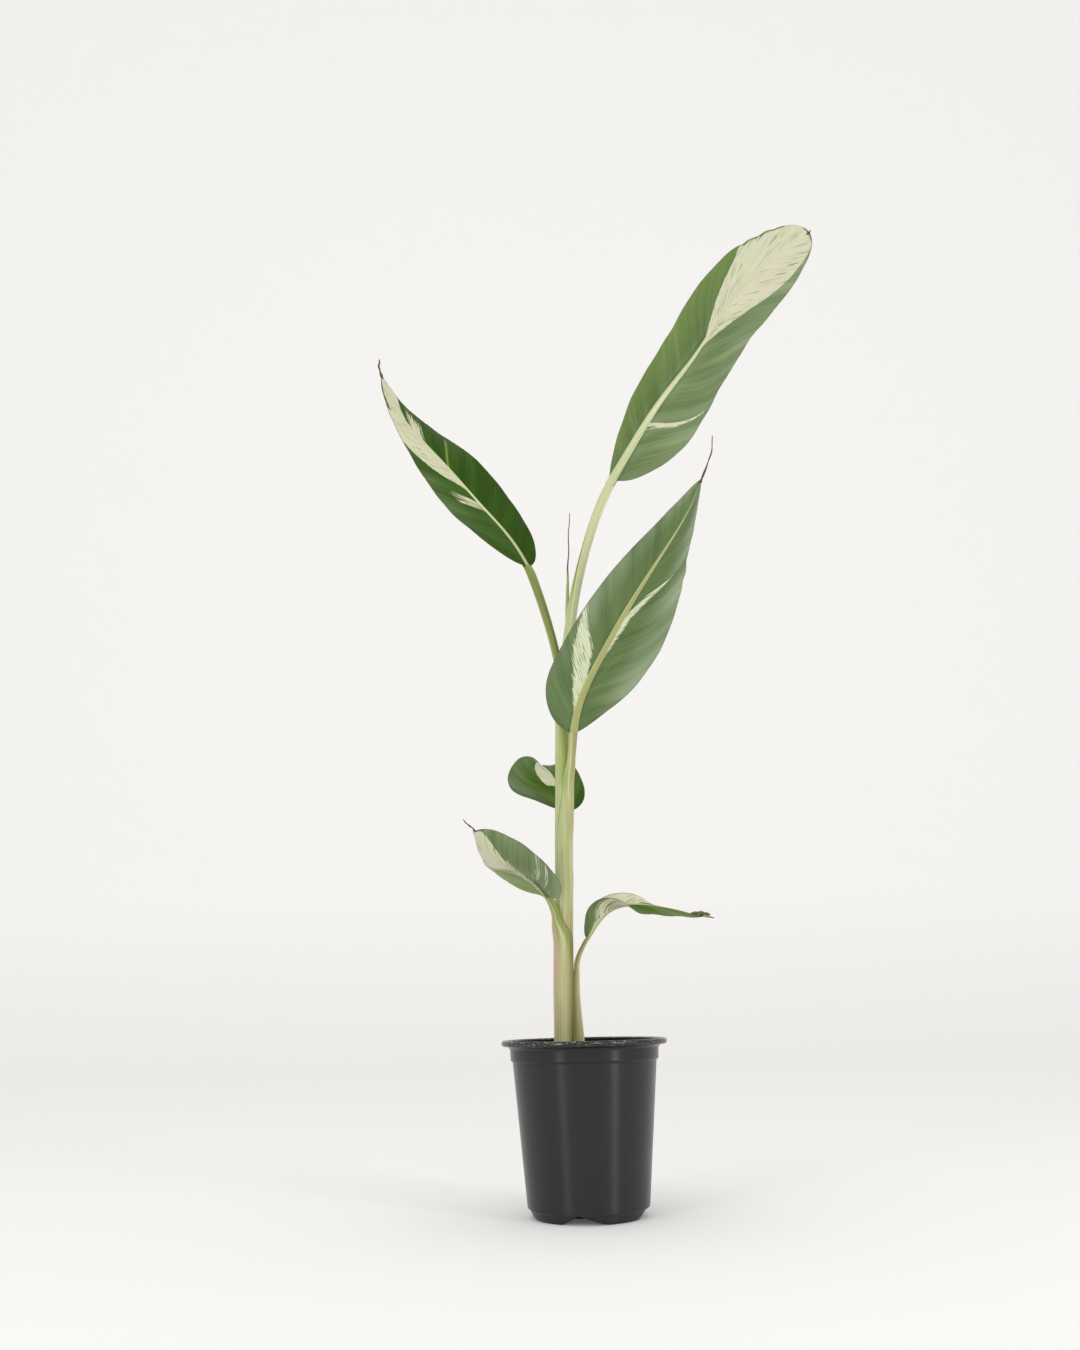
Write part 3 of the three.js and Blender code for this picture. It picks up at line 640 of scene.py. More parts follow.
# A heading is measured from +X towards +Y and a lean from upright, in degrees. A list gives values from a
# limb's foot to its end, and a sheath's from its top down.
# petiole: root and z, where it leaves the stem; straight, how far its first and last directions carry it;
# half and depth, its section; free_from, where along it the limb comes free of the stem.
# sheath: angle, how far it wraps to each side; shoulder, how far below z it lets go; furrow, where across
# it, from -1 to 1, a groove runs.
# blade: turn, its roll about the midrib; left and right, the full width of a half, where along it that is,
# and how far it folds up; base and tip, how its ends are drawn out; curl, how far each half bends;
# mirrored, whether the halves change sides.
# thread: the dried tip of a blade; from, where along the blade it starts; dry, how brown it is; tone, how
# light its green is.
LEAVES = {
    1: {
        "petiole": {"root": [-6.8, -0.5], "z": 505, "heading": -16, "lean": 1, "straight": [36, 50],
                    "half": [6, 4.7, 4.9], "depth": [7.6, 5.3, 5.5]},
        "sheath": {"heading": [-10, -14], "angle": [50, 56], "thick": [1.4, 0.3],
                   "foot": 436, "shoulder": 26},
        "blade": {"start": [43, -15, 688], "length": 337, "lean": [33, 33, 41, 33, 52, 65], "heading": -16,
                  "turn": [-81, -54, -70], "left": [38, 0.69, [14, 26, 15]],
                  "right": [51, 0.42, [-21, 20, 2]], "base": 2.5, "tip": [2.7, 0.5], "curl": 10,
                  "mirrored": False},
        "thread": {"length": 6, "lean": [70, 20], "heading": [-16, -16], "radii": [1.5, 1.1, 0.5]},
    },
    2: {
        "petiole": {"root": [-13.4, 2.6], "z": 505, "heading": 157, "lean": 9, "straight": [40, 10],
                    "half": [4.4, 4.6], "depth": [4.8, 5]},
        "sheath": {"heading": [157, 162], "angle": [76, 66], "thick": [1.2, 0.3],
                   "foot": 446, "shoulder": 24},
        "blade": {"start": [-42, 13, 613], "length": 316, "lean": [26, 38, 37, 39, 34, 18], "heading": 157,
                  "turn": [-27, -33, -11], "left": [44, 0.22, [9, -4, 7]],
                  "right": [40, 0.51, [13, 14, 11]], "base": 2.4, "tip": [1.28, 0.74], "curl": -10,
                  "mirrored": True},
        "thread": {"length": 27, "lean": [18, 15, 0], "heading": [157, 150, 0],
                   "radii": [2.0, 1.6, 1.2, 1.1, 1.0, 0.7]},
    },
    3: {
        "petiole": {"z": 409, "heading": -52, "lean": 12, "straight": [8, 8], "half": [4.6, 4.4],
                    "depth": [3.4, 4.2]},
        "sheath": {"heading": [-50, -72], "angle": [50, 96], "thick": [1.8, 0.3],
                   "foot": 306, "shoulder": 26},
        "blade": {"start": [-1.8, -15.5, 431], "length": 270, "lean": [12, 37, 41, 46, 45, 30],
                  "heading": -43, "turn": [-26, -25, -5], "left": [40, 0.19, [-8, 4, 11]],
                  "right": [52, 0.49, [-40, 2, 30]], "base": 1.9, "tip": [1.7, 0.67], "curl": 10,
                  "mirrored": False},
        "thread": {"length": 46, "lean": [30, 26, -4], "heading": [-41, -40, -40],
                   "radii": [1.6, 1.1, 0.8, 0.7, 0.6, 0.4]},
    },
    4: {
        "petiole": {"z": 340, "heading": 82, "lean": 6, "straight": [8, 6], "half": [4.2, 3.6],
                    "depth": [2.6, 3]},
        "sheath": {"heading": [82, 82], "angle": [56, 95], "thick": [1.6, 0.3], "foot": 262, "shoulder": 20},
        "blade": {"start": [-9.6, 15, 359.5], "length": 113, "lean": [54, 42, 62, 70], "heading": 105,
                  "turn": [0, -17, 2], "left": [49, 0.47, [8, 10, 36]], "right": [26, 0.36, [7, 20, 13]],
                  "base": 2.5, "tip": [1.74, 0.95], "curl": 12, "mirrored": True},
    },
    5: {
        "petiole": {"z": 246, "heading": -120, "lean": 2, "straight": [16, 9], "half": [4.8, 3.8],
                    "depth": [3.2, 3.4], "free_from": 0.3},
        "sheath": {"heading": [-104, -100], "angle": [86, 92], "thick": [1.7, 0.6],
                   "foot": 130, "shoulder": 14},
        "blade": {"start": [-30.5, -12, 278], "length": 110, "lean": [50, 75, 63, 42], "heading": -131,
                  "turn": [-2, -1, 0], "left": [35.5, 0.21, [-2, 3, 29]], "right": [41, 0.33, [-33, 1, 25]],
                  "base": 2.5, "tip": [1.52, 0.5], "curl": 10, "mirrored": False},
        "thread": {"length": 16, "lean": [42, 60, 30], "heading": [-131, -150, -190],
                   "radii": [0.9, 0.8, 0.7, 0.4], "dry": 0.6},
    },
    6: {
        "petiole": {"z": 214, "heading": -10, "lean": 7, "straight": [10, 9], "half": [3.2, 2.6],
                    "depth": [3.4, 2.8]},
        "sheath": {"heading": [0, 12], "angle": [36, 42], "thick": [5.6, 11.5], "foot": STEM_FOOT,
                   "shoulder": 20, "furrow": 0.68},
        "blade": {"start": [5.5, -4, 239], "length": 134, "lean": [34, 44, 78, 95, 102, 106, 97],
                  "heading": 4, "turn": [0, 0], "left": [19, 0.4, [35, 64, 22, -30, -38, -36, -28, 10]],
                  "right": [15, 0.35, [40, 65, 60, 42, 8, -4, 0, 35]], "base": 2.6, "tip": [1.6, 0.8],
                  "curl": 6, "mirrored": False},
        "thread": {"from": 0.83, "length": 19, "lean": [87, 95, 102], "heading": [4, 4],
                   "radii": [0.8, 1.9, 2.3, 2.1, 0.9], "dry": 0.6, "tone": 0.8},
    },
}
# Steps of a limb's path, points round a stalk and along its parts, and mm that it runs into the midrib.
PATH_STEPS = 400
STALK_OUTER = 33
STALK_INNER = 19
STALK_STEPS = 48
SHEATH_STEPS = 60
SHOULDER_STEPS = 18
INTO_RIB = 2
# The wings of a petiole and its channel are shares of its depth. The rest is in mm: the edge of a sheath,
# its furrow, how far it stands off the stem, and how far its foot sinks in.
WING = 0.42
CHANNEL = 0.45
FORK_CHANNEL = 0.87
SHEATH_EDGE = 0.3
FURROW_DEPTH = 0.7
SHEATH_OFF_STEM = 0.1
SHEATH_SINKS = 0.6
# Stripes on a stalk's outer face: place across it from -1 to 1, half width, and how much green, khaki,
# blush and dark margin they add. The sixth stalk keeps its own stripes down to the soil.
STALK_STRIPES = {
    1: [(1.0, 0.13, 1.0, 0, 0, 0.5), (0.5, 0.5, 0.35, 0, 0, 0), (0.0, 1.4, 0.06, 0, 0, 0)],
    2: [(0, 2.6, 1.0, 0.2, 0, 0.3)],
    3: [(0.75, 0.3, 0.6, 0.1, 0, 0), (0.1, 0.6, 0.8, 0.5, 0, 0.4), (-0.6, 0.5, 0.5, 0.9, 0, 0.3)],
    4: [(0, 0.8, 0.6, 0, 0, 0)],
    5: [(-0.8, 0.7, 1.0, 0, 0, 0.45), (0.6, 0.5, 0.1, 0.3, 0.75, 0.1), (0.1, 0.4, 0.7, 0.2, 0, 0.15)],
    6: [(0.95, 0.3, 0.3, 0.7, 0, 0.5), (0.68, 0.07, 0, 0, 0, 0.9), (0.2, 0.6, 0.1, 0.2, 0.5, 0)],
}
# Stalks that are pale and waxy, and how much. They are lighter still low down, as painted light where they
# lie in shade. A pale one has stripes in its upper part only, and no dark line or painted shade inside.
STALK_PALE_AND_LIT = {1: 1.0, 4: 0.2}


def directions(lean, heading):
    """Unit vectors of a limb at a lean and heading: where it goes, and where its upper face looks."""
    lean, heading = np.radians(lean), np.radians(heading)
    out = np.stack([np.cos(heading), np.sin(heading), 0 * heading], -1)
    s, c = np.sin(lean)[..., None], np.cos(lean)[..., None]
    upright = np.array([0.0, 0.0, 1.0])
    return out * s + upright * c, upright * s - out * c


def limb_path(start, length, lean, heading, t):
    """Positions, forward and upper directions at shares t of a limb of a given length."""
    knots = np.linspace(0, 1, PATH_STEPS + 1)
    middles = (knots[1:] + knots[:-1]) / 2
    steps, _ = directions(along(lean, middles), along(heading, middles))
    places = np.vstack([np.zeros(3), np.cumsum(steps * length / PATH_STEPS, 0)]) + np.array(start, float)
    position = np.stack([np.interp(t, knots, places[:, k]) for k in range(3)], -1)
    return position, *directions(along(lean, t), along(heading, t))


def blade_path(blade, t):
    """The path of a blade's midrib, with its upper face rolled by the blade's turn."""
    position, forward, upper = limb_path(blade["start"], blade["length"], blade["lean"], blade["heading"], t)
    angle = np.radians(along(blade["turn"], t))[:, None]
    upper = upper * np.cos(angle) + np.cross(forward, upper) * np.sin(angle)
    return position, forward, upper


def unit(vectors):
    """The vectors, each made one unit long."""
    return vectors / np.linalg.norm(vectors, axis=-1, keepdims=True)


def petiole_path(leaf, t):
    """Positions and directions along a petiole, from its root on the stem into the start of the blade."""
    limb = leaf["petiole"]
    ends, ends_forward, ends_upper = blade_path(leaf["blade"], np.array([0.0]))
    end, end_forward, end_upper = ends[0], ends_forward[0], ends_upper[0]
    (leaving,), _ = directions(np.array([limb["lean"]]), np.array([limb["heading"]]))
    _, (towards_upper,) = directions(np.array([0.0]), np.array([limb["heading"]]))
    if "root" in limb:
        root = np.array([*limb["root"], limb["z"] + GAP])
    else:
        centre, radius = stem_at(limb["z"])
        root = centre - towards_upper * (radius + 3 * GAP + WING * limb["depth"][0])
    # The stalk runs a little into the foot of the midrib, so that no gap shows.
    stop = end + end_forward * INTO_RIB
    a, b = root + leaving * limb["straight"][0], stop - end_forward * limb["straight"][1]
    s = t[:, None]
    position = (1 - s) ** 3 * root + 3 * s * (1 - s) ** 2 * a + 3 * s * s * (1 - s) * b + s**3 * stop
    forward = unit((1 - s) ** 2 * (a - root) + 2 * s * (1 - s) * (b - a) + s * s * (stop - b))
    share = s * s * (3 - 2 * s)
    upper = towards_upper * (1 - share) + end_upper * share
    upper = unit(upper - forward * np.sum(upper * forward, -1, keepdims=True))
    return position, forward, upper


def stalk_ring_shares():
    """Places round a stalk's section: across it from -1 to 1, and 1 on the outer face or 0 on the inner."""
    outer = -np.cos(np.pi * np.arange(STALK_OUTER) / (STALK_OUTER - 1))
    inner = 1 - 2 * np.arange(1, STALK_INNER + 1) / (STALK_INNER + 1)
    return np.concatenate([outer, inner]), np.concatenate([np.ones(STALK_OUTER), np.zeros(STALK_INNER)])


def petiole_rings(leaf, t):
    """Rings of a petiole: round below, a channel above between two wings."""
    limb = leaf["petiole"]
    position, forward, upper = petiole_path(leaf, t)
    side = np.cross(forward, upper)
    across, outside = stalk_ring_shares()
    half, depth = along(limb["half"], t)[:, None], along(limb["depth"], t)[:, None]
    deep = along([FORK_CHANNEL if "root" in limb else CHANNEL, CHANNEL], t)[:, None]
    # The wings flatten where they open into the blade.
    wing = WING * (1 - 0.75 * smooth_step(0.78, 1, t))[:, None]
    below = -np.sqrt(np.clip(1 - across**2, 0, 1))
    below = below * (1 + 0.02 * np.sin(across * 14) * (1 - across**2))
    above = wing - deep * (wing / WING) * (1 - across**2) ** 2
    slim = (1 - 0.05 * smooth_step(0.93, 1, t))[:, None]
    sideways = across * half * slim
    upwards = np.where(outside == 1, below, above) * depth * slim
    return position[:, None] + side[:, None] * sideways[..., None] + upper[:, None] * upwards[..., None]


def sheath_rings(leaf, heights):
    """Rings of a sheath clasping the stem, as heading, radius and height; its foot sinks into the stem."""
    limb, sheath = leaf["petiole"], leaf["sheath"]
    _, radius = stem_at(heights)
    top = limb["z"] - sheath["shoulder"]
    t = (top - heights) / (top - sheath["foot"])
    half = along(sheath["angle"], t)[:, None]
    thick = along(sheath["thick"], t)[:, None]
    middle = along(sheath["heading"], t)[:, None]
    at_soil = sheath["foot"] <= STEM_FOOT
    sink = 0 if at_soil else smooth_step(0.35, 1, t)[:, None]
    across, outside = stalk_ring_shares()
    spread = np.where(outside == 1, 2 * np.arange(len(across)) / (STALK_OUTER - 1) - 1, across)
    body = SHEATH_EDGE + (thick - SHEATH_EDGE) * np.cos(np.pi / 2 * np.clip(spread, -1, 1)) ** 0.7
    body = body * (1 - sink)
    inner = radius[:, None] + SHEATH_OFF_STEM - SHEATH_SINKS * sink
    angle = middle - spread * half
    ring_radius = inner + np.where(outside == 1, body, 0)
    ridges = fibre_ridges(angle, heights[:, None])
    if "furrow" in sheath:
        ridges = ridges - FURROW_DEPTH * np.exp(-((spread - sheath["furrow"]) / 0.06) ** 2)
    return np.stack([angle, ring_radius + ridges * outside, heights[:, None] + 0 * angle], -1)


def to_points(polar):
    """Points of places given as heading, radius and height about the pseudostem."""
    angle = np.radians(polar[..., 0])
    centre, _ = stem_at(polar[..., 2])
    return centre + np.stack([np.cos(angle), np.sin(angle), 0 * angle], -1) * polar[..., 1:2]


def to_polar(points, heading):
    """Heading, radius and height of points about the pseudostem, with headings near the one given."""
    centre, _ = stem_at(points[..., 2])
    offset = points - centre
    angle = np.degrees(np.arctan2(offset[..., 1], offset[..., 0])) - heading
    angle = heading + (angle + 180) % 360 - 180
    return np.stack([angle, np.hypot(offset[..., 0], offset[..., 1]), points[..., 2]], -1)


def stalk_rings(leaf):
    """Rings of sheath, shoulder and petiole, and the heading and the height along the stalk of each point."""
    limb, sheath = leaf["petiole"], leaf["sheath"]
    free = petiole_rings(leaf, np.linspace(limb.get("free_from", 0), 1, STALK_STEPS))
    top = limb["z"] - sheath["shoulder"]
    clasping = sheath_rings(leaf, np.linspace(sheath["foot"], top, SHEATH_STEPS))
    start, stop = clasping[-1], to_polar(free[0], limb["heading"])
    rises = np.linspace(0, 1, SHOULDER_STEPS)[1:-1, None, None]
    shoulder = start + (stop - start) * smooth_step(0, 1, rises)
    shoulder[..., 2] = start[..., 2] + (stop[..., 2] - start[..., 2]) * rises[..., 0]
    polar = np.concatenate([clasping, shoulder])
    steps = np.linalg.norm(np.diff(free[:, STALK_OUTER // 2], axis=0), axis=-1)
    run = np.concatenate([[0], np.cumsum(steps)])[:, None]
    heading = np.concatenate([polar[..., 0], np.repeat(stop[None, :, 0], STALK_STEPS, 0)])
    height = np.concatenate([polar[..., 2], stop[:, 2].mean() + run + 0 * stop[:, 0]])
    return np.concatenate([to_points(polar), free]), heading, height


def stalk_fields(number, leaf, heading, height):
    """Tissue of a stalk: the stem's own on the sheath, changing to the leaf's own stripes up the petiole."""
    limb, sheath = leaf["petiole"], leaf["sheath"]
    across, outside = stalk_ring_shares()
    own = smooth_step(limb["z"] - sheath["shoulder"] - 25, limb["z"] + 6, height)
    own = np.maximum(own, "furrow" in sheath)
    above_foot = smooth_step(sheath["foot"] + 10, sheath["foot"] + 60, height)
    fields = stem_fields(heading, height, smooth_step(0.95, 1.0, np.abs(across)) * 0.45 * above_foot)
    stripes = np.zeros((4,) + height.shape)
    for middle, half_width, *strengths in STALK_STRIPES[number]:
        near = (1 - smooth_step(0.2 * half_width, half_width, np.abs(across - middle))) * outside
        stripes += np.array(strengths)[:, None, None] * near
    # A pale stalk is paler and less striped low down: waxy tissue, and also painted light where it lies in
    # shade.
    pale = STALK_PALE_AND_LIT.get(number, 0)
    upper = smooth_step(30, 110, height - limb["z"])
    stripes *= 1 - 0.75 * pale * (1 - upper)
    stripes[0] += (0.9 - 0.6 * pale) * (1 - outside)
    # Besides the dark margin lines, the inner face gets a quarter of a dark line as painted shade, so that
    # the channel does not look lit where it faces up.
    stripes[3] += (fields["line"] + 0.25 * (1 - outside)) * (1 - pale)
    for key, stripe in zip(("green", "khaki", "blush", "line"), stripes):
        fields[key] = np.clip(fields[key] * (1 - own) + stripe * own, 0, 1)
    fields["wax_and_painted_light"] = (0.35 - 0.3 * upper) * pale * own
    return fields


for number, leaf in LEAVES.items():
    rings, heading, height = stalk_rings(leaf)
    points, faces = loft(rings)
    fields = stalk_fields(number, leaf, heading, height)
    stalk = new_mesh_object(f"leaf_stalk_{number}", points, faces, [stem_tissue], fields=fields)
    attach(stalk, "root")
    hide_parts(f"petiole_{number}")

# Blades
# Each blade is one sheet of tissue, about 0.5 mm thick, that unrolled from a spear: a midrib proud on the
# underside, side veins that curve to the margin, and cream sectors where the tissue has no green in it.
# The upper face has a waxy gloss, and the underside a greyish bloom.
BLADE_THICK = 0.55
BLADE_TIP_HALF = 0.8
PLEAT_SPACING = 7.5
PLEAT_HEIGHT = 0.22
SWELL_SPACING = 46
SWELL_HEIGHT = 0.8
ROWS_PER_MM = 0.95
COLUMNS_LARGE = 30
COLUMNS_SMALL = 26
THREAD_STEPS = 30
THREAD_SIDES = 12
# Mm from a margin or midrib, and mm from the border of a sector, at which nothing of it shows.
OFF_MARGIN = 9
OFF_SECTOR = 12
# Leaves lie this many mm apart in the pattern, so that no two have the same streaks.
PATTERN_APART = 500
# Sectors of other tissue. half: the side of the midrib. veins: from and to, as where on the midrib's
# length the vein starts, with knots from the midrib out to the margin. reach: shares of the half's width.
# rough: how far, in mm, the streaks along its border run. faint: how green it stays. lime: no cream, but
# brighter green. green: a place that stays green inside the sector listed before it.
# A stroke is a streak that leaves the midrib slowly: from and to along it, and mm out from it.
SECTORS = {
    1: [
        {"half": "left", "veins": [[0.53, 0.57, 0.60, 0.61, 0.60], 1.2], "rough": 1.5},
        {"half": "left", "veins": [0.60, 0.77], "reach": [0.93, 2.0], "green": True},
        {"half": "right", "veins": [[0.50, 0.525, 0.56, 0.655, 0.97], 1.2], "rough": 1.0},
        {"half": "right", "reach": [0.0, 0.95], "rough": 0.3,
         "veins": [[0.196, 0.183, 0.176, 0.18, 0.198], [0.212, 0.199, 0.191, 0.194, 0.208]]},
        {"half": "right", "veins": [[0.182, 0.172, 0.166], [0.187, 0.177, 0.17]], "reach": [0.05, 0.6],
         "rough": 0.5, "faint": 0.4},
    ],
    2: [
        {"half": "left", "veins": [[0.36, 0.385, 0.41, 0.45, 0.51], 1.2], "rough": 1.6},
        {"half": "left", "veins": [0.70, 0.95], "reach": [0.8, 2.0], "green": True},
        {"half": "left", "veins": [0.248, 0.294], "reach": [0.0, 0.5], "rough": 4.5, "faint": 0.15},
        {"half": "right", "veins": [[0.76, 0.775, 0.78, 0.785, 0.79], 1.2], "rough": 1.5},
        {"half": "right", "veins": [0.645, 0.72], "reach": [-0.2, 0.42], "rough": 7.0, "faint": 0.15},
        {"half": "right", "veins": [0.484, 0.496], "reach": [0.0, 0.8], "lime": 0.65},
    ],
    3: [
        {"half": "left", "veins": [[0.03, 0.085, 0.13, 0.17, 0.24], [0.16, 0.235, 0.25, 0.253, 0.262]],
         "rough": 6.0, "faint": 0.2},
        {"half": "right", "stroke": (0.27, 0.66), "out": [2.6, 2.8, 3.6, 5.6, 11, 19, 28],
         "wide": [0, 3.0, 4.6, 5.0, 4.6, 3.4, 0], "rough": 1.2},
        {"half": "right", "stroke": (0.20, 0.36), "out": [6, 12, 21], "wide": [0, 0.7, 0], "lime": 0.5},
    ],
    4: [{"half": "left", "veins": [[0.36, 0.29, 0.58, 1.1, 1.1], 1.2], "rough": 0.8}],
    5: [
        {"half": "left", "veins": [[0.42, 0.34, 0.26, 0.20, 0.14], 1.2], "rough": 5.0},
        {"half": "right", "veins": [[0.44, 0.61, 0.80, 1.1, 1.1], 1.2], "rough": 0.6},
        {"half": "left", "stroke": (0.05, 0.5), "out": [2, 3, 6, 12], "wide": [1, 2, 2, 0],
         "rough": 4.0, "faint": 0.2},
        {"half": "right", "stroke": (0.1, 0.62), "out": [1.2, 1.6, 2.4, 4], "wide": [1, 1.6, 2, 3],
         "rough": 2.0, "faint": 0.1},
        {"half": "right", "veins": [0.12, 0.165], "reach": [0.3, 1.0], "rough": 3.5, "faint": 0.5},
        {"half": "right", "veins": [0.02, 0.055], "reach": [0.2, 0.9], "rough": 3.0, "faint": 0.5},
    ],
    6: [
        {"half": "right", "veins": [0.10, [0.44, 0.44, 0.46, 0.47, 0.48]], "rough": 3.0},
        {"half": "left", "veins": [0.10, [0.33, 0.30, 0.26, 0.23, 0.21]], "reach": [0.0, 1.1],
         "rough": 6.0, "faint": 0.35},
        {"half": "left", "stroke": (0.05, 0.4), "out": [1, 2, 2.5, 2], "wide": [1, 2.5, 2.5, 0],
         "rough": 2.0},
    ],
}
# wave: how far in mm a margin waves, and the wave's length. line: half width of the midrib's pale line at
# the blade's foot, and how fast it thins. olive: how brown the midrib is. dry: mm of dried tip. tone: how
# light each half is, from 0 to 1, or from foot to tip. rim: mm more of brown along the margin. silver, the
# painted sheen: a greyish sheen painted far out on a half, and beside the midrib. lime: the half that is
# brighter green, how far up, and how much at the margin. pink: how pinkish the cream is, where 0 is a pale
# lime.
BLADE_LOOKS = {
    1: {"wave": (1.0, 58), "line": (5.0, 2.0), "olive": 0.05, "dry": 2.5,
        "tone": {"left": 0.08, "right": 0.33}, "painted_sheen": {"left": (0, 0.15), "right": (0.3, 0.2)},
        "lime": ("left", 0.8, 0.35)},
    # The second leaf's left half has a higher tone than its right, as painted sheen.
    2: {"wave": (0.4, 70), "line": (2.2, 1.0), "olive": 0.0, "dry": 5,
        "tone": {"left": 0.16, "right": 0.06}, "painted_sheen": {"left": (0.14, 0), "right": (0, 0)}},
    3: {"wave": (0.8, 64), "line": (4.4, 1.0), "olive": 0.8, "dry": 4, "pink": 0.1,
        "tone": {"left": 0.18, "right": 0.16}, "painted_sheen": {"left": (0.45, 0), "right": (0.75, 0)}},
    4: {"wave": (0.6, 40), "line": (1.6, 1.0), "olive": 0.2, "dry": 2,
        "tone": {"left": 0.36, "right": 0.34}, "painted_sheen": {"left": (0.3, 0), "right": (0.1, 0)}},
    5: {"wave": (0.6, 42), "line": (2.0, 1.0), "olive": 0.5, "dry": 1.5,
        "tone": {"left": 0.46, "right": 0.37}, "painted_sheen": {"left": (0, 0.2), "right": (0.3, 0)},
        "lime": ("left", 0.95, 0.8)},
    6: {"wave": (0.6, 40), "line": (2.2, 0.9), "olive": 0.6, "dry": 6, "rim": 0.15,
        "tone": {"left": [0.1, 0.25, 0.55, 0.6], "right": 0.45},
        "painted_sheen": {"left": (0.1, 0), "right": (0, 0)}},
}
# What the tissue's patterns read at each place of a blade.
BLADE_FIELDS = ("cream", "rough", "faint", "tone", "painted_sheen", "lime", "pink", "rib", "olive", "dry", "margin")
# How a half differs from the even outline: even, a width that rises evenly and makes no lobe; late, how far
# up the midrib its lobe starts; dents, worn places in the margin as share of the length, depth, and width.
BLADE_MARGINS = {
    (1, "left"): {"even": 1.5, "dents": [(0.88, 1.8, 0.016), (0.925, 1.2, 0.01), (0.835, 1.0, 0.008)]},
    (1, "right"): {"late": 0.022, "dents": [(0.93, 1.2, 0.03)]},
    (3, "right"): {"even": 1.3, "dents": [(0.655, 1.6, 0.018), (0.725, 1.9, 0.02)]},
    (5, "left"): {"dents": [(0.62, 1.2, 0.05)]},
}


def outline_share(t, peak, base, tip, rounding):
    """Share of a half blade's full width at t along it: a rounded base, and a tip drawn to a point."""
    rising = np.clip(1 - (np.clip(peak - t, 0, 1) / peak) ** base, 0, 1) ** rounding
    falling = np.clip(1 - (np.clip(t - peak, 0, 1) / (1 - peak)) ** tip[0], 0, 1) ** tip[1]
    return np.where(t < peak, rising, falling)


def vein_root(run, out, length, widest):
    """Where on the midrib, in mm, the side vein starts that passes run along and out from it."""
    share = np.maximum(out / widest, 1e-4)
    reach = widest * (0.9 * share**0.7 + 0.5 * share**3)
    root = run + 0 * out
    for _ in range(8):
        root = run - along([0.9, 1.0, 1.5, 2.2, 2.6], root / length) * reach
    return root


def blade_half(number, leaf, name, t, shares):
    """One half of a blade as a bent sheet: points, facing, and mm along, out, to the margin and by vein."""
    blade = leaf["blade"]
    position, forward, upper = blade_path(blade, t)
    side = np.cross(forward, upper) * (1 if (name == "left") != blade["mirrored"] else -1)
    full, peak, fold = blade[name]
    stalk_half = leaf["petiole"]["half"][-1]
    least = stalk_half + (BLADE_TIP_HALF - stalk_half) * t
    margin = BLADE_MARGINS.get((number, name), {})
    late = margin.get("late", 0)
    rounding = 0.5 * margin.get("even", 1)
    risen = outline_share((t - late) / (1 - late), peak, blade["base"], blade["tip"], rounding)
    for place, depth, wide in margin.get("dents", []):
        risen = risen - depth / full * np.exp(-(((t - place) / wide) ** 2))
    width = np.maximum(least, full * risen)[:, None]
    start = np.radians(along(fold, t))[:, None]
    bend = math.radians(blade["curl"])
    angle = start + bend * shares
    lateral = width / bend * (np.sin(angle) - np.sin(start))
    rise = width / bend * (np.cos(start) - np.cos(angle))
    facing = upper[:, None] * np.cos(angle)[..., None] - side[:, None] * np.sin(angle)[..., None]
    out = shares * width
    on_rib = 1 - smooth_step(0, 1, out / (stalk_half * (1 - t[:, None]) + 1.0))
    run = t[:, None] * blade["length"] + 0 * out
    return {
        "points": position[:, None] + side[:, None] * lateral[..., None] + upper[:, None] * rise[..., None],
        "facing": unit(facing * (1 - on_rib[..., None]) + upper[:, None] * on_rib[..., None]),
        "run": run,
        "out": out,
        "share": out / (width + 0 * out),
        "root": vein_root(run, out, blade["length"], max(blade["left"][0], blade["right"][0])),
        # Below the lobe the half is only the stalk's own edge, which has no margin.
        "margin": width - out + OFF_MARGIN * (1 - smooth_step(0, 3, full * risen - least))[:, None],
    }


def waves(run, spacing, seed):
    """An uneven wave between -1 and 1."""
    turn = 2 * math.pi * run / spacing
    return 0.6 * np.sin(turn + seed) + 0.4 * np.sin(turn * 1.63 + 2.1 * seed)


def add_relief(number, leaf, half, sign, t):
    """Pleats along the veins, slow swells and a wavy margin, and how thick the blade is above and below."""
    run, out, share, root = (half[key] for key in ("run", "out", "share", "root"))
    off_rib = smooth_step(2, 12, out) * (1 - 0.7 * share**3)
    pleat = PLEAT_HEIGHT * np.sin(2 * math.pi * root / PLEAT_SPACING + np.sin(root / 19)) * off_rib
    swell = SWELL_HEIGHT * waves(root, SWELL_SPACING, number + sign) * off_rib
    reach, wave_length = BLADE_LOOKS[number]["wave"]
    wave = reach * waves(run, wave_length, number * 1.7 + sign) * share**3
    ease = smooth_step(0, 0.08, t)[:, None] * (1 - smooth_step(0.97, 1, t))[:, None]
    half["points"] = half["points"] + half["facing"] * ((pleat + swell + wave) * ease)[..., None]

    # The midrib is round below, and above it is a shallow channel that fades towards the tip.
    stalk_half, stalk_depth = leaf["petiole"]["half"][-1], leaf["petiole"]["depth"][-1]
    taper = (1 - t[:, None]) ** 0.8
    round_rib = np.clip(1 - (out / (stalk_half * taper + 0.3)) ** 2, 0, 1)
    thick = BLADE_THICK * (1 - 0.5 * share**2)
    half["above"] = thick / 2 - 0.3 * stalk_depth * taper**2 * round_rib**2
    half["below"] = thick / 2 + stalk_depth * 0.97 * taper**1.5 * round_rib**0.5


def inside_sector(sector, half, length, widest):
    """Mm inside a sector at each place of a half, negative outside it."""
    if "stroke" in sector:
        start, stop = sector["stroke"]
        t = (half["run"] / length - start) / (stop - start)
        beyond = np.maximum(np.maximum(-t, t - 1), 0) * 100
        return along(sector["wide"], t) / 2 - np.abs(half["out"] - along(sector["out"], t)) * 0.85 - beyond
    share = half["share"]
    borders = [along(knots, share) * length for knots in sector["veins"]]
    inner, outer = sector.get("reach", [-1, 2])
    inside = np.minimum(half["root"] - borders[0], borders[1] - half["root"])
    ends = np.minimum(share - inner, outer - share) * widest * 0.5
    return np.minimum(inside, ends)


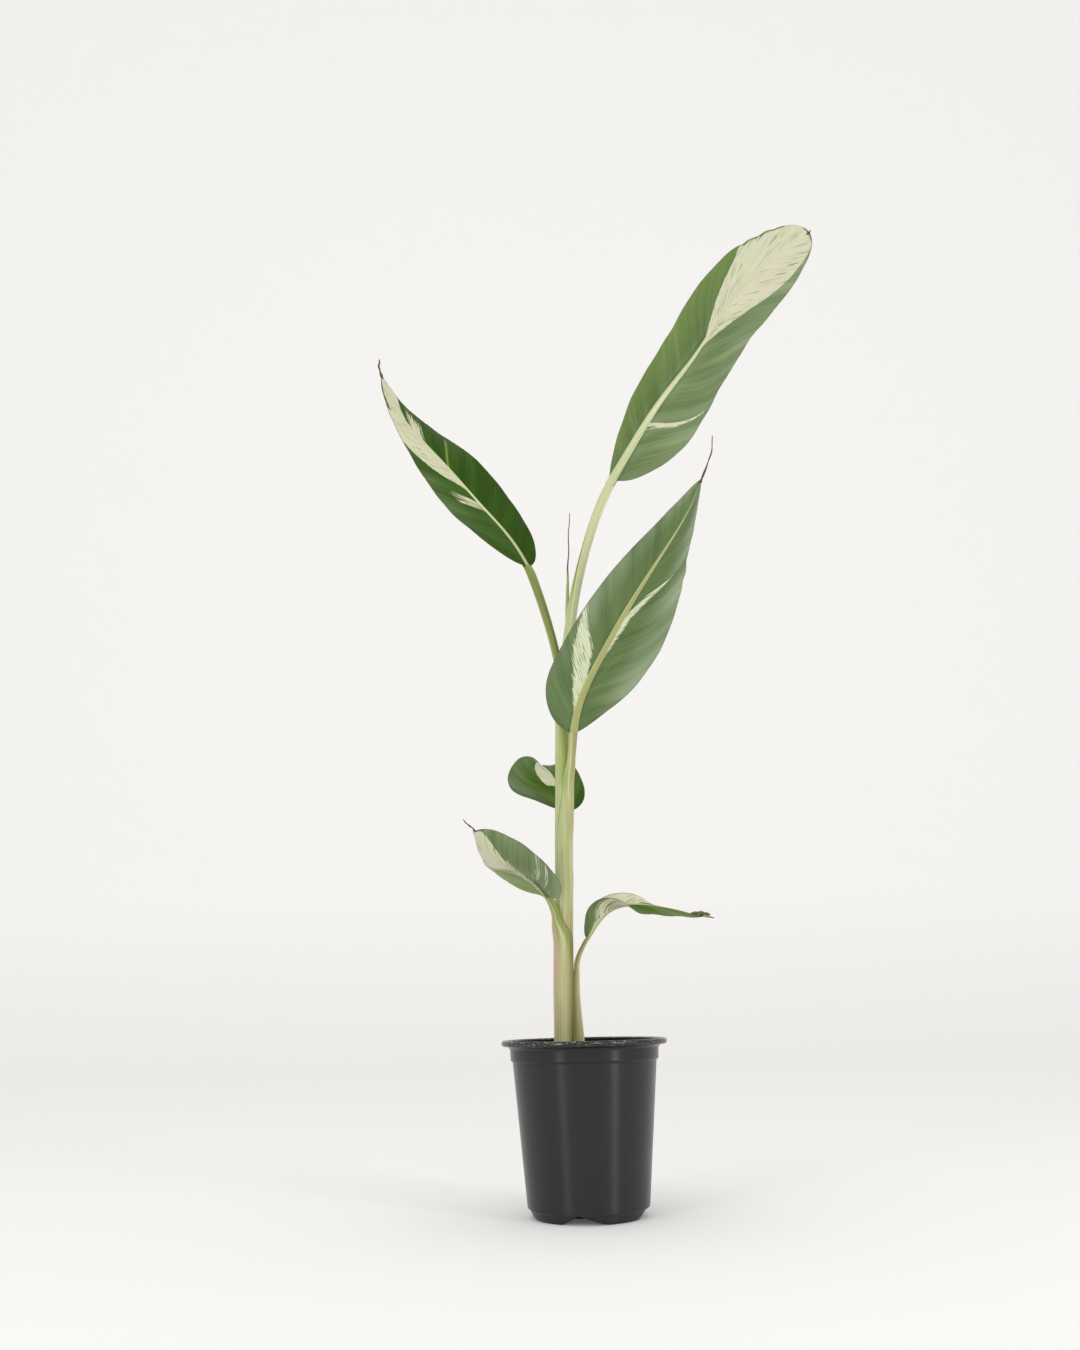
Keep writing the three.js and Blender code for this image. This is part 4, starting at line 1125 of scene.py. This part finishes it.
def add_tissue(number, blade, half, name, sign, t):
    """What tissue is where on one half: sectors, tone, painted sheen, midrib lines and the dried tip."""
    looks, length = BLADE_LOOKS[number], blade["length"]
    widest = max(blade["left"][0], blade["right"][0])
    run, out, share, root = (half[key] for key in ("run", "out", "share", "root"))
    lime_half, lime_to, lime = looks.get("lime", ("none", 0, 0))
    below_top = 1 - smooth_step(lime_to - 0.1, lime_to, root / length)
    half["lime"] = lime * (lime_half == name) * share * below_top
    inside = np.full_like(run, -30.0)
    rough, faint = np.ones_like(run), np.zeros_like(run)
    for sector in SECTORS[number]:
        if sector["half"] != name:
            continue
        here = inside_sector(sector, half, length, widest)
        if "green" in sector:
            inside = np.minimum(inside, -here)
        elif "lime" in sector:
            half["lime"] = np.maximum(half["lime"], sector["lime"] * smooth_step(-0.5, 0.6, here))
        else:
            rough = np.where(here > inside, sector["rough"], rough)
            faint = np.where(here > inside, sector.get("faint", 0), faint)
            inside = np.maximum(inside, here)
    half["cream"] = np.clip(inside, -OFF_SECTOR, OFF_SECTOR)
    half["rough"], half["faint"] = rough, faint
    half["tone"] = along(looks["tone"][name], run / length)
    # A greyish sheen is painted far out on the half and beside the midrib.
    far_out, by_rib = looks["painted_sheen"][name]
    half["painted_sheen"] = far_out * smooth_step(0.35, 0.95, share) * smooth_step(0.05, 0.3, t)[:, None]
    half["painted_sheen"] += by_rib * np.exp(-(((out - 5) / 4) ** 2)) * smooth_step(0.05, 0.15, t)[:, None]
    line_half, line_power = looks["line"]
    half["rib"] = line_half * (1 - t[:, None]) ** line_power + 0.3 - out
    half["olive"] = looks["olive"] + 0 * run
    half["pink"] = looks.get("pink", 1) + 0 * run
    half["dry"] = smooth_step(length - looks["dry"], length - looks["dry"] * 0.3, run + 0.15 * out)
    half["margin"] = half["margin"] - looks.get("rim", 0)
    half["place"] = np.stack([root + PATTERN_APART * number, sign * out, run], -1)


def tube(line, side, upper, turn, radius):
    """A closed tube about a line, with a radius for each turn round it."""
    ring = side[:, None] * np.cos(turn)[..., None] + upper[:, None] * np.sin(turn)[..., None]
    return loft(line[:, None] + ring * radius[..., None])


def dried_thread(leaf):
    """The thread that a blade's tip dries to: a flat twisted string that wanders a little."""
    thread = leaf["thread"]
    tip, _, _ = blade_path(leaf["blade"], np.array([thread.get("from", 0.99)]))
    u = np.linspace(0, 1, THREAD_STEPS)
    line, forward, upper = limb_path(tip[0], thread["length"], thread["lean"], thread["heading"], u)
    side = np.cross(forward, upper)
    line = line + side * (0.6 * np.sin(u * 17) * u)[:, None]
    turn = np.linspace(0, 2 * math.pi, THREAD_SIDES, endpoint=False) + 0 * u[:, None]
    twist = turn + 9 * u[:, None]
    radius = along(thread["radii"], u)[:, None] * (1 - 0.35 * np.sin(twist) ** 2)
    return tube(line, side, upper, turn, radius)


def leaf_tissue(name, greens, cream, roughness, specular):
    """Banana leaf: green by tone, streaked along its veins, with cream sectors and a streaky midrib."""
    material, tree, shader = new_material(name, IOR=1.42, Roughness=roughness, Specular_IOR_Level=specular)
    place = add_node(tree, "ShaderNodeAttribute", attribute_name="place").outputs["Vector"]
    on = {
        key: add_node(tree, "ShaderNodeAttribute", attribute_name=key).outputs["Fac"] for key in BLADE_FIELDS
    }
    # Grains in mm across the veins, along them, and along the blade. Side veins are 1 mm apart on the plant
    # and drawn at 2 mm, so that they show in the render.
    for key, grain, detail in (
        ("veins", (2.0, 90, math.inf), 2.0),
        ("broad", (20, 70, math.inf), 2.0),
        ("streaks", (1.3, 26, math.inf), 3.0),
        ("dashes", (1.4, 11, math.inf), 1.0),
        ("rib_streaks", (math.inf, 1.1, 70), 2.0),
    ):
        scaled = add_node(tree, "ShaderNodeMapping", {"Vector": place, "Scale": [1 / mm for mm in grain]})
        on[key] = add_node(tree, "ShaderNodeTexNoise", {"Vector": scaled, "Scale": 1.0, "Detail": detail})
    # Each pattern is stretched to the range that it is used in.
    for key, source, low, high, to_low, to_high in (
        ("fine", "veins", 0.3, 0.7, -0.11, 0.11),
        ("slow", "broad", 0.3, 0.7, -0.15, 0.15),
        ("sheen", "broad", 0.3, 0.7, 0.3, 1.0),
        ("ragged", "streaks", 0.32, 0.68, -1.0, 1.0),
        ("dash", "dashes", 0.62, 0.67, 0.0, 0.85),
        ("haze", "streaks", 0.4, 0.65, 0.0, 0.6),
        ("warmth", "broad", 0.4, 0.65, 0.0, 0.4),
        ("left_green", "faint", 0.0, 1.0, 0.27, 0.73),
        ("rib_tint", "rib_streaks", 0.35, 0.65, 0.0, 1.0),
        ("on_rib", "rib", 0.0, 0.6, 0.0, 1.0),
        ("rib_edge", "rib", 0.3, 1.6, 0.8, 0.0),
        ("rim", "margin", 0.25, 0.9, 0.75, 0.0),
    ):
        on[key] = add_node(
            tree,
            "ShaderNodeMapRange",
            {"Value": on[source], "From Min": low, "From Max": high, "To Min": to_low, "To Max": to_high},
        )

    tone = add_node(tree, "ShaderNodeMath", {0: on["fine"], 1: on["slow"]}, operation="ADD")
    tone = add_node(tree, "ShaderNodeMath", {0: tone, 1: on["tone"]}, operation="ADD", use_clamp=True)
    green = add_node(tree, "ShaderNodeValToRGB", {"Fac": tone})
    for _ in greens[2:]:
        green.color_ramp.elements.new(0.5)
    for k, (element, code) in enumerate(zip(green.color_ramp.elements, greens)):
        element.position = k / (len(greens) - 1)
        element.color = colour(code)
    # Painted sheen: a greyish green is laid over the green in broad patches, standing for gloss that catches
    # the light.
    painted_sheen = add_node(tree, "ShaderNodeMath", {0: on["sheen"], 1: on["painted_sheen"]}, operation="MULTIPLY")
    for part, other in ((painted_sheen, "#9fae92"), (on["lime"], "#86a04d")):
        green = add_node(tree, "ShaderNodeMix", {"Factor": part, "A": green, "B": other}, data_type="RGBA")

    # The border of a cream sector runs in streaks along the veins; a faint sector is only some of its
    # streaks, and a few dark dashes are left in all of them.
    ragged = {0: on["ragged"], 1: on["rough"], 2: on["cream"]}
    ragged = add_node(tree, "ShaderNodeMath", ragged, operation="MULTIPLY_ADD")
    creamy = add_node(tree, "ShaderNodeMapRange", {"Value": ragged, "From Min": -0.3, "From Max": 0.5})
    over = add_node(tree, "ShaderNodeMath", {0: on["streaks"], 1: on["left_green"]}, operation="SUBTRACT")
    solid = add_node(tree, "ShaderNodeMapRange", {"Value": over, "From Min": -0.03, "From Max": 0.03})
    creamy = add_node(tree, "ShaderNodeMath", {0: creamy, 1: solid}, operation="MULTIPLY")
    warmth = add_node(tree, "ShaderNodeMath", {0: on["warmth"], 1: on["pink"]}, operation="MULTIPLY")
    pale = "#d6ddc2"
    layers = [(on["pink"], cream), (on["haze"], "#bcc697"), (warmth, "#d3c8b2"), (on["dash"], "#5c6c3c")]
    for part, other in layers:
        pale = add_node(tree, "ShaderNodeMix", {"Factor": part, "A": pale, "B": other}, data_type="RGBA")

    # The midrib is a pale line, or an olive one on older leaves, with a greener edge.
    pale_rib, olive_rib = (
        add_node(tree, "ShaderNodeMix", {"Factor": on["rib_tint"], "A": one, "B": other}, data_type="RGBA")
        for one, other in (("#d5d8b5", "#b4be8c"), ("#919c4c", "#9c9460"))
    )
    rib = pale_rib
    for part, other in ((on["olive"], olive_rib), (on["rib_edge"], "#c3c88e")):
        rib = add_node(tree, "ShaderNodeMix", {"Factor": part, "A": rib, "B": other}, data_type="RGBA")

    tint = green
    layers = [(creamy, pale), (on["on_rib"], rib), (on["rim"], "#6b5b47"), (on["dry"], "#5d4a3c")]
    for part, other in layers:
        tint = add_node(tree, "ShaderNodeMix", {"Factor": part, "A": tint, "B": other}, data_type="RGBA")
    bump = add_node(tree, "ShaderNodeBump", {"Height": on["veins"], "Strength": 0.35, "Distance": 0.0005})
    fill_inputs(tree, shader, {"Base Color": tint, "Normal": bump})
    return material


# A waxy cuticle gives the upper face deep greens and a soft sheen; a powdery bloom makes the underside paler
# and greyer.
upper_face = leaf_tissue(
    "banana_blade_upper_waxy", ["#2a4806", "#3e5f15", "#637740", "#8a9766"], "#cfcdb2", 0.36, 0.08
)
under_face = leaf_tissue(
    "banana_blade_underside_bloom", ["#4c6336", "#697d51", "#8a9b6e", "#a9b585"], "#cbcab3", 0.42, 0.19
)

for number, leaf in LEAVES.items():
    blade = leaf["blade"]
    rows = round(blade["length"] * ROWS_PER_MM)
    columns = COLUMNS_LARGE if blade["length"] > 200 else COLUMNS_SMALL
    t = np.linspace(0, 1, rows)
    # Columns stand closer near the midrib.
    shares = np.linspace(0, 1, columns + 1) ** 1.35
    halves = []
    for name, sign in (("left", -1), ("right", 1)):
        half = blade_half(number, leaf, name, t, shares)
        add_relief(number, leaf, half, sign, t)
        add_tissue(number, blade, half, name, sign, t)
        halves.append(half)

    # Everything runs from the left margin over the midrib to the right margin, and back on the underside.
    left, right = halves
    whole = {key: np.concatenate([left[key][:, ::-1], right[key][:, 1:]], axis=1) for key in left}
    top = whole["points"] + whole["facing"] * whole["above"][..., None]
    bottom = whole["points"] - whole["facing"] * whole["below"][..., None]
    points, faces = loft(np.concatenate([top, bottom[:, ::-1]], axis=1))
    fields = {
        key: np.concatenate([whole[key], whole[key][:, ::-1]], axis=1).reshape(len(points), -1)
        for key in ("place", *BLADE_FIELDS)
    }
    count = 2 * columns + 1
    column_of = np.tile(np.arange(2 * count), rows - 1)
    face_materials = [int(count <= k < 2 * count - 1) for k in column_of] + [0, 0]

    # The thread has no cream, margin or midrib.
    if "thread" in leaf:
        thread_points, thread_faces = dried_thread(leaf)
        first = len(points)
        points = np.concatenate([points, thread_points])
        faces += [[k + first for k in face] for face in thread_faces]
        face_materials += [0] * len(thread_faces)
        plain = {"dry": 0.95, "cream": -OFF_SECTOR, "margin": OFF_MARGIN, "rib": -OFF_MARGIN}
        looks = {**plain, **leaf["thread"]}
        for key, values in fields.items():
            extra = np.full((len(thread_points), values.shape[1]), looks.get(key, 0), float)
            fields[key] = np.concatenate([values, extra])

    leaf_blade = new_mesh_object(
        f"leaf_blade_{number}", points, faces, [upper_face, under_face], face_materials, fields
    )
    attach(leaf_blade, "root")
    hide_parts(f"leaf_{number}")

# New leaf
# The next leaf, still rolled into a thin spear in the channel of the youngest stalk. Its tip has dried to
# a brown thread as fine as string.
SPEAR_START = (-4.2, -1.3, 531)
SPEAR_LENGTH = 134
SPEAR_LEAN = [1, 2, 3, 3]
SPEAR_RADII = [1.8, 2.1, 2.0, 1.7, 1.1, 0.7, 0.6, 0.5, 0.4]
SPEAR_STEPS = 90
SPEAR_SIDES = 20
DRY_FROM = 0.5

u = np.linspace(0, 1, SPEAR_STEPS)
line, forward, upper = limb_path(SPEAR_START, SPEAR_LENGTH, SPEAR_LEAN, 0, u)
side = np.cross(forward, upper)
dryness = smooth_step(DRY_FROM - 0.06, DRY_FROM + 0.06, u)
wander = side * np.sin(u * 31)[:, None] * 0.6 + upper * np.cos(u * 23)[:, None] * 0.4
line = line + wander * dryness[:, None]
turn = np.linspace(0, 2 * math.pi, SPEAR_SIDES, endpoint=False)
# The rolled margin shows as one step that winds slowly up the spear.
wound = ((turn - 5 * u[:, None]) % (2 * math.pi)) / (2 * math.pi)
points, faces = tube(line, side, upper, turn, along(SPEAR_RADII, u)[:, None] * (1 - 0.16 * wound))
grown = u[:, None] + 0 * wound
fields = {
    "place": np.stack([wound * 6, grown * SPEAR_LENGTH, 0 * grown], -1),
    "dry": dryness[:, None] + 0 * wound,
}
# The roll shows its fresh green in lines 0.8 mm wide and 14 mm long, and where it has dried it is brown.
rolled, tree, shader = new_material("rolled_young_leaf", IOR=1.42, Roughness=0.5, Specular_IOR_Level=0.3)
place = add_node(tree, "ShaderNodeAttribute", attribute_name="place").outputs["Vector"]
dry = add_node(tree, "ShaderNodeAttribute", attribute_name="dry").outputs["Fac"]
lines = add_node(tree, "ShaderNodeMapping", {"Vector": place, "Scale": (1 / 0.8, 1 / 14, 0.0)})
lines = add_node(tree, "ShaderNodeTexNoise", {"Vector": lines, "Scale": 1.0, "Detail": 2.0})
fresh, withered = (
    add_node(tree, "ShaderNodeMix", {"Factor": lines, "A": one, "B": other}, data_type="RGBA")
    for one, other in (("#7f9448", "#b9c58a"), ("#4c3b2d", "#7a6450"))
)
tint = add_node(tree, "ShaderNodeMix", {"Factor": dry, "A": fresh, "B": withered}, data_type="RGBA")
fill_inputs(tree, shader, {"Base Color": tint})
new_leaf = new_mesh_object("rolled_new_leaf", points, faces, [rolled], fields=fields)
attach(new_leaf, "root")
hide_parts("new_leaf")
